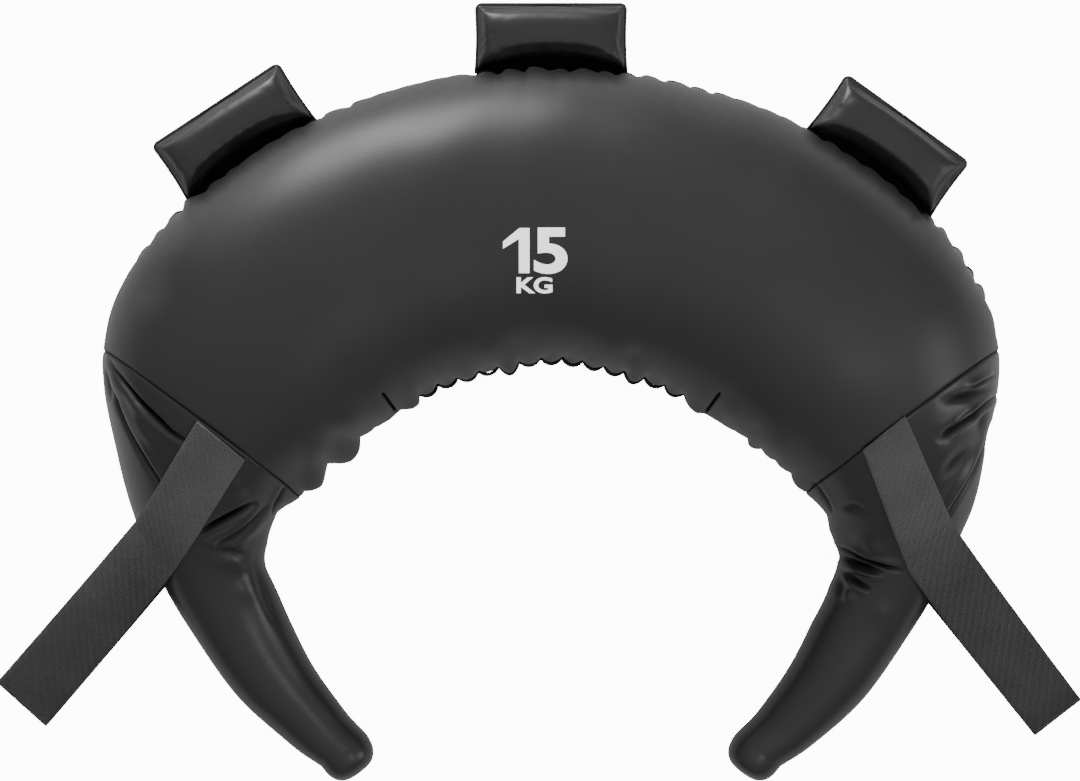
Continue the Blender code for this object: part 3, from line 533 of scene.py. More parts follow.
def fold_height(points, away_from_seam, side):
    """Height of the folds and lumps over the plain skin, and the shade painted into their creases."""
    places = to_pixels(points)
    height = np.zeros(points.shape[:-1])
    dark = np.zeros(points.shape[:-1])
    for line, width, depth, ridge in FOLDS:
        distance, share = line_distance(places, line)
        distance = distance * MID_PIXEL / MM
        ends = np.where((share <= 0) | (share >= 1), bell(distance / width), 1.0)
        valley = np.exp(-np.abs(distance / width) ** 1.5)
        beside = (distance - math.copysign(RIDGE_AWAY * width, ridge)) / (RIDGE_WIDTH * width)
        taper = taper_of(share, width)
        height += (abs(ridge) * bell(beside) - depth * valley) * taper * ends * MM
        # Painted shade: the valley of each fold is darkened where shade falls into it.
        core = depth / FOLD_SHADE_DEPTH * bell(distance / (FOLD_SHADE_WIDTH * width)) * taper * ends
        dark = np.maximum(dark, core)
    for line, width, size in RIDGES:
        distance, share = line_distance(places, line)
        height += size * MM * bell(distance * MID_PIXEL / MM / width) * taper_of(share, width)
    for x, y, radius, size in LUMPS:
        distance = np.linalg.norm(places - np.array((x, y)), axis=-1)
        height += size * MM * bell(distance / radius)
    if side < 0:
        share = REAR_FOLD_SHARE + (1 - REAR_FOLD_SHARE) * bell(away_from_seam / REAR_FOLD_FADE)
        height *= share
        dark *= share
    return height, np.clip(dark, 0.0, 1.0)


# Slow unevenness of the filling: a few waves in fixed random directions
WAVE_COUNT = 14
WAVE_HEIGHT = 0.00045
WAVE_DIRECTIONS = unit(rng.normal(size=(WAVE_COUNT, 3)))
WAVE_PITCHES = rng.uniform(0.05, 0.14, WAVE_COUNT)
WAVE_PHASES = rng.uniform(0, 2 * math.pi, WAVE_COUNT)


def unevenness(points):
    total = np.zeros(points.shape[:-1])
    for direction, pitch, phase in zip(WAVE_DIRECTIONS, WAVE_PITCHES, WAVE_PHASES):
        total += np.sin(points @ direction * (2 * math.pi / pitch) + phase)
    return WAVE_HEIGHT * total / math.sqrt(WAVE_COUNT)


def handle_shade(stations, from_outer):
    """Painted shadow under each handle: darkened leather along the outer seam."""
    shade = np.zeros_like(stations)
    for _, station in HANDLES:
        middle = outer_length(np.array([float(station)]))[0]
        along = np.abs(outer_length(stations) - middle) - HANDLE_LENGTH / 2
        shade = np.maximum(shade, 1 - eased((along + HANDLE_SHADE_INSIDE) / HANDLE_SHADE_END_FADE))
    inwards = from_outer ** 2 / (2 * SECTION_RADIUS)
    valley = gather_depth(OUTER_GATHERS, outer_length(stations), np.zeros_like(from_outer)) / OUTER_DEPTH
    least, more = HANDLE_SHADE_PLAN
    fade = 1 - eased((inwards - least - more * np.clip(valley, 0, 1)) / HANDLE_SHADE_FADE)
    return HANDLE_SHADE * shade * fade * eased((inwards - SEAM_EDGE) / SEAM_GLINT)


def skin(side, stations, angles, inset=0.0):
    """Points of the finished skin, front (side 1) or rear (side -1), and the shade painted on it in creases,
    seam grooves and under the handles.
    """
    points = base_points(stations, angles)
    normals = base_normals(stations, angles)
    from_outer, total = girth_at(side, stations, angles)
    from_inner = total - from_outer
    size = np.abs(stations)
    seam_length = inner_length(stations)

    height = unevenness(points) * eased(from_outer / UNEVEN_FADE)
    folds, dark = fold_height(points, np.minimum(from_outer, from_inner), side)
    height += folds
    past_cuff = eased((size - CUFF_STATION) / CUFF_FADE)
    laced = 1 - eased((np.abs(seam_length) - LACED_HALF - FACING_END) / GROOVE_FADE)
    from_lip = np.maximum(from_inner - LIP_AWAY, 0.0)
    height -= gather_depth(OUTER_GATHERS, outer_length(stations), from_outer) * (1 - past_cuff)
    height -= gather_depth(INNER_GATHERS, seam_length, from_inner) * (1 - past_cuff)
    height -= gather_depth(LIP_GATHERS, seam_length, from_lip) * laced
    height += lobe_drop(seam_length, LOBE_DROPS) * laced * bell(from_lip / LIP_DRAW_REACH)
    height -= SEAM_PINCH * np.exp(-(from_outer / SEAM_PINCH_WIDTH) ** 1.5)
    height -= SEAM_PINCH * (1 - laced) * np.exp(-(from_inner / SEAM_PINCH_WIDTH) ** 1.5)
    height += LIP_FULLNESS * laced * bell(from_inner / LIP_DRAW_REACH)
    height += inner_push(seam_length) * bell(from_inner / INNER_PUSH_REACH)
    from_dart = (size - DART_STATION * cuff_station(angles) / CUFF_STATION) * DART_METRES
    dart = bell(from_dart / DART_WIDTH) * (1 - eased((from_inner - DART_LENGTH) / DART_FADE)) * (side > 0)
    height -= DART_DEPTH * dart
    from_cuff = np.abs(size - cuff_station(angles)) * CUFF_METRES
    height -= CUFF_GROOVE_DEPTH * np.exp(-(from_cuff / CUFF_GROOVE_WIDTH) ** 1.5)
    # Painted shade in the grooves of the dart and of the cuff seam.
    dark = np.maximum(dark, np.maximum(dart, CUFF_SEAM_SHADE * bell(from_cuff / CUFF_GROOVE_WIDTH)))
    # Painted shadow of the handles along the outer seam.
    if side > 0:
        dark = np.maximum(dark, handle_shade(stations, from_outer))
    tip_fade = 1 - eased((size - TIP_STATION - TIP_FADE_START) / TIP_FADE)
    points = points + normals * ((height * tip_fade) - inset)[..., None]

    from_seam = math.pi - np.abs(angles)
    groove = GROOVE_DEPTH * laced * np.exp(-(from_seam / GROOVE_ANGLE) ** 4)
    lift = side * laced * (FACING_GAP / 2 + FACING_WALL + LIP_CLEARANCE) * bell(from_seam / LIP_SPREAD_ANGLE)
    bend = np.where(stations < 0, *HORN_BENDS) * bell((size - BEND_STATION) / BEND_WIDTH)
    points = points + outward(station_values(stations)[..., 5]) * (groove - bend)[..., None]
    points[..., 2] += lift
    return points, dark


def cuff_station(angles):
    """Station of the cuff seam at each angle: it runs straight over the front."""
    return CUFF_STATION - CUFF_BOW * np.sin(np.abs(angles))


# Meshes
def linked(name, data):
    item = bpy.data.objects.new(name, data)
    bpy.context.collection.objects.link(item)
    return item


def editable(mesh):
    bm = bmesh.new()
    bm.from_mesh(mesh)
    bm.verts.ensure_lookup_table()
    return bm


def put_back(bm, mesh, outwards=True):
    """Ends the edit of a mesh, with its faces turned outwards if asked."""
    if outwards:
        bmesh.ops.recalc_face_normals(bm, faces=bm.faces)
    bm.to_mesh(mesh)
    bm.free()
    mesh.shade_smooth()


def grid_object(name, points, closed=False, flip=False, merge=0.0, layer=None, crease=None):
    """A mesh from a grid of points. It keeps its place on the cloth in metres, and the shade painted on it
    as its crease attribute.
    """
    rows, columns = points.shape[:2]
    index = np.arange(rows * columns).reshape(rows, columns)
    if closed:
        index = np.hstack((index, index[:, :1]))
    faces = np.stack((index[:-1, :-1], index[:-1, 1:], index[1:, 1:], index[1:, :-1]), -1)
    faces = faces.reshape(-1, 4)
    if flip:
        faces = faces[:, ::-1]
    mesh = bpy.data.meshes.new(name)
    mesh.from_pydata(points.reshape(-1, 3).tolist(), [], faces.tolist())
    if layer is not None:
        uv = mesh.uv_layers.new(name="cloth")
        corners = np.zeros(len(mesh.loops), np.int32)
        mesh.loops.foreach_get("vertex_index", corners)
        uv.data.foreach_set("uv", layer.reshape(-1, 2)[corners].astype(np.float32).ravel())
    # The crease attribute holds painted shade: creases, seam grooves, hems and the shadow under the handles.
    if crease is not None:
        kept = mesh.attributes.new("crease", "FLOAT", "POINT")
        kept.data.foreach_set("value", crease.astype(np.float32).ravel())
    if merge:
        bm = editable(mesh)
        bmesh.ops.remove_doubles(bm, verts=bm.verts, dist=merge)
        bmesh.ops.dissolve_degenerate(bm, edges=bm.edges, dist=merge)
        put_back(bm, mesh, outwards=False)
    mesh.shade_smooth()
    return linked(name, mesh)


def finish_piece(item, material, slot, *replaced, blend=None):
    """Gives a piece its material; the slot is not used. It rides on the bag, or, given a blend, is left
    loose with its place baked in.
    """
    item.data.materials.append(material)
    if blend:
        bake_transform(item)
    else:
        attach(item, "bag")
    if replaced:
        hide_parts(*replaced)


def tree_of(*items):
    points, faces = [], []
    for item in items:
        start = len(points)
        points += [v.co.copy() for v in item.data.vertices]
        faces += [[start + i for i in p.vertices] for p in item.data.polygons]
    return BVHTree.FromPolygons(points, faces)


# Materials
def new_material(name, colour, roughness):
    material = bpy.data.materials.new(name)
    material.use_nodes = True
    tree = material.node_tree
    shader = tree.nodes["Principled BSDF"].inputs
    shader["Base Color"].default_value = (*colour, 1.0)
    shader["Roughness"].default_value = roughness
    return material, tree, shader


def feed(tree, socket, value):
    """Links an output to a socket, or sets the socket to a value."""
    if isinstance(value, bpy.types.NodeSocket):
        tree.links.new(value, socket)
    else:
        socket.default_value = value


def add_node(tree, kind, output, **values):
    """Adds a node, with its settings and inputs by name, and gives one of its outputs."""
    node = tree.nodes.new("ShaderNode" + kind)
    for name, value in values.items():
        if hasattr(node, name):
            setattr(node, name, value)
        else:
            feed(tree, node.inputs[name.replace("_", " ")], value)
    return node.outputs[output]


def calculate(tree, operation, *inputs):
    node = tree.nodes.new("ShaderNodeMath")
    node.operation = operation
    for socket, value in zip(node.inputs, inputs):
        feed(tree, socket, value)
    return node.outputs[0]


def ramp(tree, source, low, high, start=0.0, end=1.0):
    """Maps a range of an output, 0 to 1 unless it is given, onto another range."""
    return add_node(
        tree, "MapRange", "Result", Value=source, From_Min=start, From_Max=end, To_Min=low, To_Max=high,
    )


def noise(tree, scale, detail, roughness):
    place = add_node(tree, "TexCoord", "Object")
    return add_node(tree, "TexNoise", "Fac", Vector=place, Scale=scale, Detail=detail, Roughness=roughness)


def mix_colours(tree, factor, first, second):
    return add_node(tree, "Mix", "Result", data_type="RGBA", Factor=factor, A=first, B=second)


def add_bump(tree, shader, height, strength, distance):
    bump = add_node(tree, "Bump", "Normal", Strength=strength, Distance=distance, Height=height)
    tree.links.new(bump, shader["Normal"])


# Painted shade: the colour, added roughness and dimmed specular where the crease attribute darkens the
# leather.
PAINTED_SHADE_COLOUR = (0.002, 0.002, 0.002)
PAINTED_SHADE_ROUGHNESS = 0.45
LEATHER_SPECULAR = 0.5
PAINTED_SHADE_SPECULAR = 0.04
GLOSS_SPREAD = 0.04


def leather_material(name, dark, light, roughness):
    """Artificial leather: a fine pebbled grain with slow changes of colour and gloss, and painted shade
    where its crease attribute is set.
    """
    material, tree, shader = new_material(name, dark, roughness)
    slow = noise(tree, 14.0, 4.0, 0.55)
    fine = noise(tree, 420.0, 3.0, 0.6)
    place = add_node(tree, "TexCoord", "Object")
    pebbles = add_node(tree, "TexVoronoi", "Distance", feature="SMOOTH_F1", Vector=place, Scale=950.0)
    # Painted shade from the crease attribute: near-black colour, more roughness, less specular.
    crease = add_node(tree, "Attribute", "Fac", attribute_name="crease")
    plain = mix_colours(tree, slow, (*dark, 1.0), (*light, 1.0))
    feed(tree, shader["Base Color"], mix_colours(tree, crease, plain, (*PAINTED_SHADE_COLOUR, 1.0)))
    slow_gloss = ramp(tree, slow, roughness - GLOSS_SPREAD, roughness + GLOSS_SPREAD)
    gloss = calculate(tree, "ADD", slow_gloss, ramp(tree, fine, -GLOSS_SPREAD, GLOSS_SPREAD))
    feed(tree, shader["Roughness"], calculate(tree, "MULTIPLY_ADD", crease, PAINTED_SHADE_ROUGHNESS, gloss))
    add_bump(tree, shader, calculate(tree, "MULTIPLY_ADD", pebbles, 0.6, fine), 0.10, 0.0004)
    feed(tree, shader["Specular IOR Level"], ramp(tree, crease, LEATHER_SPECULAR, PAINTED_SHADE_SPECULAR))
    return material


TWILL_PITCH = 0.00175
YARN_PITCH = 0.0008
TWILL_TURN = 0.10
# End of the band's painted light along the webbing, and how far it fades.
BAND_END = 0.105
BAND_FADE = 0.05


def webbing_material(name, dark, light, sheen=0.15, specular=0.5):
    """Twill webbing: raised diagonal lines over fine yarns along the webbing, and painted light on the band
    that lies over the horn.
    """
    material, tree, shader = new_material(name, dark, 0.8)
    cloth = add_node(tree, "UVMap", "UV", uv_map="cloth")
    along = add_node(tree, "SeparateXYZ", "X", Vector=cloth)
    across = add_node(tree, "SeparateXYZ", "Y", Vector=cloth)

    def wave(along_share, across_share, pitch):
        place = calculate(tree, "MULTIPLY", along, along_share)
        place = calculate(tree, "MULTIPLY_ADD", across, across_share, place)
        return calculate(tree, "SINE", calculate(tree, "MULTIPLY", place, 2 * math.pi / pitch))

    weave = wave(math.cos(TWILL_TURN), math.sin(TWILL_TURN), TWILL_PITCH)
    weave = calculate(tree, "MULTIPLY_ADD", wave(0.0, 1.0, YARN_PITCH), 0.3, weave)
    weave = calculate(tree, "MULTIPLY_ADD", wave(1.0, 0.0, YARN_PITCH), 0.25, weave)
    # Painted light: the band over the horn is lighter than the loop, with slow mottling.
    painted_band_light = ramp(tree, along, 0.9, -0.45, BAND_END - BAND_FADE, BAND_END + BAND_FADE)
    mottle_and_painted_light = calculate(tree, "MULTIPLY", noise(tree, 30.0, 3.0, 0.5), painted_band_light)
    mixed = calculate(tree, "MULTIPLY_ADD", ramp(tree, weave, 0.0, 1.0, -1.5, 1.5), 0.85, mottle_and_painted_light)
    feed(tree, shader["Base Color"], mix_colours(tree, mixed, (*dark, 1.0), (*light, 1.0)))
    fuzz = noise(tree, 900.0, 2.0, 0.6)
    add_bump(tree, shader, calculate(tree, "MULTIPLY_ADD", fuzz, 0.4, weave), 1.0, 0.0006)
    shader["Sheen Weight"].default_value = sheen
    shader["Sheen Roughness"].default_value = 0.5
    shader["Specular IOR Level"].default_value = specular
    return material


def cord_material(name, dark, light, scale):
    """Braided cord or thread: small streaks over a rough ground."""
    material, tree, shader = new_material(name, dark, 0.7)
    strands = noise(tree, scale, 4.0, 0.6)
    feed(tree, shader["Base Color"], mix_colours(tree, strands, (*dark, 1.0), (*light, 1.0)))
    add_bump(tree, shader, strands, 0.5, 0.0004)
    return material


PRINT_GLOW = 1.2


def print_material(name):
    material, tree, shader = new_material(name, (0.95, 0.95, 0.95), 0.45)
    # Painted light: the print glows a little, though it is no lamp.
    shader["Emission Color"].default_value = (1.0, 1.0, 1.0, 1.0)
    shader["Emission Strength"].default_value = PRINT_GLOW
    grain = noise(tree, 500.0, 3.0, 0.6)
    feed(tree, shader["Roughness"], ramp(tree, grain, 0.38, 0.52))
    add_bump(tree, shader, grain, 0.1, 0.0002)
    return material


LEATHER = leather_material("leather", (0.020, 0.020, 0.021), (0.030, 0.030, 0.031), 0.42)
COVER = leather_material("cover", (0.017, 0.017, 0.018), (0.026, 0.026, 0.027), 0.33)
ROLL = leather_material("roll", (0.018, 0.018, 0.019), (0.027, 0.027, 0.028), 0.38)
WEBBING = webbing_material("webbing", (0.012, 0.012, 0.013), (0.165, 0.165, 0.168))
LACE = cord_material("lace", (0.004, 0.004, 0.004), (0.016, 0.016, 0.016), 900.0)
# Near-black and almost without specular: painted shade for the tabs under the rolls and for the welt.
PAINTED_SHADE_BLACK = webbing_material("painted_shade_black", (0.0015, 0.0015, 0.0016), (0.006, 0.006, 0.006), 0.0, 0.08)
THREAD = cord_material("thread", (0.08, 0.08, 0.082), (0.17, 0.17, 0.172), 1500.0)
PRINT = print_material("print")


# Skins: two panels, and two halves of each horn cover
PANEL_ROW_STEP = 0.0018
PANEL_COLUMN_STEP = 0.0021
COVER_ROWS = {1: 380, -1: 260}
COVER_COLUMN_STEP = {1: 0.00105, -1: 0.0015}
EDGE_STEP = 0.0006
STEP_GROWTH = 1.18
COVER_TUCK = 0.09
COVER_GIRTH_STATION = 4.6
COVER_MERGE = 0.00002
DART_ROWS = (-0.03, -0.018, -0.009, 0, 0.009, 0.018, 0.03)


def graded(length, first, most):
    """Places from 0 to a length, close together at both ends."""
    places = [0.0]
    step = first
    while places[-1] + step < length / 2:
        places.append(places[-1] + step)
        step = min(step * STEP_GROWTH, most)
    half = np.array(places) * (length / 2 / places[-1])
    return np.concatenate((half, length - half[-2::-1]))


def panel_stations():
    limit = CUFF_STATION
    lengths = np.arange(outer_length(-limit), outer_length(limit), PANEL_ROW_STEP)
    stations = np.interp(lengths, OUTER_LENGTHS, TABLE_STATIONS)
    extra = [hand * (DART_STATION + offset) for hand in (-1, 1) for offset in DART_ROWS]
    shares = (stations - stations[0]) / (stations[-1] - stations[0])
    even = shares * 2 * limit - limit
    return np.unique(np.concatenate((even, extra)))


def skin_grid(side, rows, shares, station_map):
    """Rows of stations by columns of shares round the section."""
    angles = angles_at_shares(side, rows, shares)
    stations = station_map(rows[:, None], angles)
    return stations, angles


def panel_map(rows, angles):
    """Squeezes the rows a little so that the last ones lie on the bowed cuff seams."""
    return rows * cuff_station(angles) / CUFF_STATION


def cover_map(rows, angles):
    past = (END_STATION - np.abs(rows)) / (END_STATION - CUFF_STATION)
    return np.sign(rows) * (np.abs(rows) + (cuff_station(angles) - CUFF_STATION) * past)


def with_hem(side, stations, angles, ends, tuck=0.0):
    """The skin over a grid, with a turned edge under its first row, its last row or both."""
    points, dark = skin(side, stations, angles)
    parts, painted_shades = [points], [dark]
    for row in ends:
        under = stations[[row]] - np.sign(stations[[row]]) * tuck
        hem, _ = skin(side, under, angles[[row]], HEM_DEPTH)
        at = 0 if row == 0 else len(parts)
        parts.insert(at, hem)
        # Painted shade: the turned hem is fully darkened.
        painted_shades.insert(at, np.ones_like(dark[[row]]))
    return np.concatenate(parts), np.concatenate(painted_shades)


def add_panel(name, side, replaced):
    rows = panel_stations()
    girth = GIRTHS[side][1][len(TABLE_STATIONS) // 2, -1]
    shares = graded(girth, EDGE_STEP, PANEL_COLUMN_STEP) / girth
    stations, angles = skin_grid(side, rows, shares, panel_map)
    points, dark = with_hem(side, stations, angles, (0, -1))
    item = grid_object(name, points, flip=side < 0, crease=dark)
    finish_piece(item, LEATHER, "leather", *replaced)
    return item


def add_cover(name, side, hand, replaced):
    limit = outer_length(np.array([CUFF_STATION, END_STATION]))
    lengths = np.linspace(limit[0], limit[1], COVER_ROWS[side])
    rows = hand * np.interp(lengths, OUTER_LENGTHS, TABLE_STATIONS)
    middle = len(TABLE_STATIONS) // 2
    middle += int(COVER_GIRTH_STATION / END_STATION * middle)
    girth = GIRTHS[side][1][middle, -1]
    shares = graded(girth, EDGE_STEP, COVER_COLUMN_STEP[side]) / girth
    stations, angles = skin_grid(side, rows, shares, cover_map)
    points, dark = with_hem(side, stations, angles, (0,), COVER_TUCK)
    item = grid_object(name, points, flip=(side < 0) == (hand > 0), merge=COVER_MERGE, crease=dark)
    finish_piece(item, COVER, "cover", *replaced)
    return item


SAND_BAGS = ("sand_bag_left", "sand_bag_middle", "sand_bag_right")
skins = [
    add_panel("front_panel_leather", 1, ("front_panel", "front_filling", *SAND_BAGS)),
    add_panel("rear_panel_leather", -1, ("rear_panel", "rear_filling")),
]
for label, hand in (("left", -1), ("right", 1)):
    stem = label + "_horn_"
    skins.append(add_cover(stem + "front_leather", 1, hand, (stem + "front", stem + "core")))
    skins.append(add_cover(stem + "rear_leather", -1, hand, (stem + "rear",)))
SKIN_TREE = tree_of(*skins)


# Lacing: two facings with holes and one lace through them
def seam_frames(lengths):
    """Edge of the groove at lengths along the inner seam, with the directions along and inwards."""
    stations = np.interp(lengths, INNER_LENGTHS, TABLE_STATIONS)
    x, y, half_width, _, height, heading = np.moveaxis(station_values(stations), -1, 0)
    outwards = outward(heading)
    middle = np.stack((x, y, height), -1)
    edge = middle - outwards * (half_width - GROOVE_DEPTH + LACE_FORWARD)[:, None]
    return edge, -outwards


def lace_points():
    reach = FACING_LIP + LACE_REACH
    centre = (HOLE_SETBACK + reach) / 2
    half_reach = (reach - HOLE_SETBACK) / 2
    phase = 2 * math.pi * np.arange(LACE_TURNS * LACE_POINTS + 1) / LACE_POINTS
    advance = (phase + LACE_DWELL_SHARE * np.sin(phase + math.pi)) / (2 * math.pi)
    lengths = LACE_PITCH * advance - LACED_HALF
    edge, inwards = seam_frames(lengths)
    reach_now = centre - half_reach * np.cos(phase) + lobe_drop(lengths, LACE_DROPS)
    points = edge + inwards * reach_now[:, None]
    points[:, 2] += LACE_RISE * np.sin(phase)
    return points


def tube_rings(path, sides):
    """Directions out of a path all round it, turned with it."""
    tangent = unit(np.gradient(path, axis=0))
    side = unit(np.cross(tangent, np.array((0.0, 0.0, 1.0))))
    for i in range(1, len(side)):
        carried = side[i - 1] - tangent[i] * (side[i - 1] @ tangent[i])
        side[i] = carried / max(np.linalg.norm(carried), 1e-12)
    other = np.cross(tangent, side)
    turn = 2 * math.pi * np.arange(sides) / sides
    return np.cos(turn)[None, :, None] * side[:, None] + np.sin(turn)[None, :, None] * other[:, None]


BRAID_SIDES = 16
BRAID_STEP = 0.0005
BRAID_PITCH = 0.0032
BRAID_RELIEF = 0.00016
BRAID_MIDDLE = 0.6
CAP_SHARE = 0.02


def resample(points, step):
    lengths = running(np.linalg.norm(np.diff(points, axis=0), axis=1))
    count = int(lengths[-1] / step) + 1
    wanted = np.linspace(0, lengths[-1], count)
    return np.stack([np.interp(wanted, lengths, points[:, i]) for i in range(3)], -1), wanted


def add_lace():
    path, lengths = resample(lace_points(), BRAID_STEP)
    radius = LACE_DIAMETER / 2
    turn = 2 * math.pi * np.arange(BRAID_SIDES) / BRAID_SIDES
    phase = lengths[:, None] * 2 * math.pi / BRAID_PITCH
    relief = np.maximum(np.sin(4 * turn[None] + phase), np.sin(4 * turn[None] - phase))
    ring = tube_rings(path, BRAID_SIDES)
    points = path[:, None] + ring * (radius + BRAID_RELIEF * (relief - BRAID_MIDDLE))[..., None]
    first, last = [path[[row], None] + ring[[row]] * radius * CAP_SHARE for row in (0, -1)]
    item = grid_object("closure_lace_braid", np.concatenate((first, points, last)), closed=True)
    finish_piece(item, LACE, "lace", "closure_lace")


FACING_DRAW = 0.0036
FACING_ROWS = 260
FACING_COLUMNS = 9
FACING_ROUND = 0.0005


def add_facing(name, side, replaced):
    """A webbing strip inside one lip, wavy along its free edge."""
    end = LACED_HALF + FACING_END
    lengths = np.linspace(-end, end, FACING_ROWS)
    edge, inwards = seam_frames(lengths)
    phase = 2 * math.pi * (lengths + LACED_HALF) / LACE_PITCH
    draw = FACING_DRAW * ((1 + np.cos(phase)) / 2) ** 2
    low = side * FACING_GAP / 2
    high = side * (FACING_GAP / 2 + FACING_WALL)
    across = np.linspace(-FACING_INSIDE, FACING_LIP, FACING_COLUMNS)
    across = np.concatenate((across, [FACING_LIP + FACING_ROUND], across[::-1]))
    heights = [low] * FACING_COLUMNS + [(low + high) / 2] + [high] * FACING_COLUMNS
    section = []
    for place, height in zip(across, heights):
        reach = place - draw * (place > FACING_LIP / 2)
        section.append(edge + inwards * reach[:, None] + np.array((0, 0, height)))
    item = grid_object(name, np.stack(section, 1), closed=True, flip=side > 0)
    finish_piece(item, LACE, "webbing", replaced)


add_lace()
add_facing("front_facing_strip", 1, "front_facing")
add_facing("rear_facing_strip", -1, "rear_facing")


# Handles: padded rolls, each blown up inside two sheets that are sewn together at their edges
HANDLE_REACH = 0.0436
HANDLE_HALF_THICKNESS = 0.0200
HANDLE_CORNER = 0.0060
HANDLE_HOLLOW_SHARE = 0.020
HANDLE_STEP = 0.0015
NECK_REACH = 0.0045
SHEET_HALF = 0.0008
BEAD_SETBACK = 0.0024
BEAD_GROOVE = 0.0006
BEAD_WIDTH = 0.0008
ROLL_LIFT = 0.0110
ROLL_LAP = 0.0015
ROLL_BASE_SHARE = 0.9
# Squareness of the roll's section towards its base and towards its sewn edge
ROLL_FULLNESS = (7.0, 2.5)
ROLL_POWER = 0.55
ROLL_SOFTNESS = 0.0006
PLEAT_SIZE = 0.02
PLEAT_PITCH = 0.0021
PLEAT_DRIFT = 0.017
PLEAT_REACH = 0.22
WRINKLE_SIZE = 0.008
WRINKLE_PITCH = 0.011
EDGE_POINT_STEP = 0.0004
HANDLE_MERGE = 0.00003
SWING_INSIDE = 0.006
SWING_OUTSIDE = 0.004
TAB_INSIDE = 0.0080
TAB_HALF = 0.0010
TAB_OVERLAP = 0.0045
TAB_SHORTER = 0.003
TAB_EDGE_STEP = 0.0008
TAB_STEP = 0.003
TAB_ROWS = 13


def handle_frame(station):
    spot = np.array([float(station)])
    edge = base_points(spot, np.zeros(1))[0]
    heading = station_values(spot)[0, 5]
    outwards = np.array((math.sin(heading), math.cos(heading), 0.0))
    along = np.array((outwards[1], -outwards[0], 0.0))
    return edge + outwards * NECK_REACH, along, outwards


def seam_under(station, hinge, along, outwards, x):
    """Reach and height of the body's seam under a handle, at places along it."""
    stations = np.linspace(station - 1.2, station + 1.2, 241)
    seam = base_points(stations, np.zeros_like(stations)) - hinge
    return np.interp(x, seam @ along, seam @ outwards), np.interp(x, seam @ along, seam[:, 2])


def roll_low(x, base):
    """Lower edge of the padded roll: on the seam at both ends, and well off it in the middle."""
    return base + ROLL_LIFT * (1 - np.abs(2 * x / HANDLE_LENGTH) ** 3)


def round_corners(x, y):
    """Draws a rectangle's outer corners in to arcs."""
    half = HANDLE_LENGTH / 2 - HANDLE_CORNER
    top = HANDLE_REACH - HANDLE_CORNER
    a = np.maximum(np.abs(x) - half, 0) / HANDLE_CORNER
    b = np.maximum(y - top, 0) / HANDLE_CORNER
    new_x = np.where(a > 0, np.sign(x) * (half + HANDLE_CORNER * a * np.sqrt(1 - b * b / 2)), x)
    new_y = np.where(b > 0, top + HANDLE_CORNER * b * np.sqrt(1 - a * a / 2), y)
    return new_x, new_y


def edge_distance(x, y):
    """Distance from the sewn edge: the two ends and the outer side, with round corners."""
    from_end = HANDLE_LENGTH / 2 - np.abs(x)
    from_top = HANDLE_REACH - y
    near_x = np.maximum(HANDLE_CORNER - from_end, 0)
    near_y = np.maximum(HANDLE_CORNER - from_top, 0)
    plain = np.minimum(from_end, from_top)
    in_corner = (near_x > 0) & (near_y > 0)
    return np.maximum(np.where(in_corner, HANDLE_CORNER - np.hypot(near_x, near_y), plain), 0)


def roll_height(x, y, low, number):
    """Half thickness of a handle over its plan: a flat sewn rim round a padded roll."""
    from_edge = edge_distance(x, y)
    sheet = SHEET_HALF * np.sqrt(1 - (1 - np.minimum(from_edge / SHEET_HALF, 1)) ** 2)
    sheet -= BEAD_GROOVE * bell((from_edge - BEAD_SETBACK) / BEAD_WIDTH)
    length = HANDLE_LENGTH / 2 - BEAD_SETBACK
    across = np.clip((y - low) / (HANDLE_REACH - BEAD_SETBACK - low), 0, 1)
    along = np.clip(np.abs(x) / length, 0, 1)
    fullness = np.where(across < 0.5, *ROLL_FULLNESS)
    roll = HANDLE_HALF_THICKNESS * np.sqrt(1 - along ** 6)
    roll = roll * (1 - np.abs(2 * across - 1) ** fullness) ** ROLL_POWER
    pleats = np.sin(x / PLEAT_PITCH + 3 * np.sin(x / PLEAT_DRIFT + number)) * bell(across / PLEAT_REACH)
    wrinkles = WRINKLE_SIZE * np.sin(x / WRINKLE_PITCH + 2 * number) * np.sin(across * 5 + number)
    roll *= 1 + PLEAT_SIZE * pleats + wrinkles
    total = sheet + roll + np.sqrt((sheet - roll) ** 2 + ROLL_SOFTNESS ** 2) - ROLL_SOFTNESS
    return total / 2 * (from_edge > 0)


def two_sheets(station, x, y, middle, half):
    """An upper and a lower sheet about a middle height, as one ring of columns."""
    hinge, along, outwards = handle_frame(station)
    flat = hinge + along * x[..., None] + outwards * y[..., None]
    upper, lower = [flat + np.array((0, 0, 1.0)) * (middle + side * half)[..., None] for side in (1, -1)]
    return np.concatenate((upper, lower[:, ::-1]), axis=1)


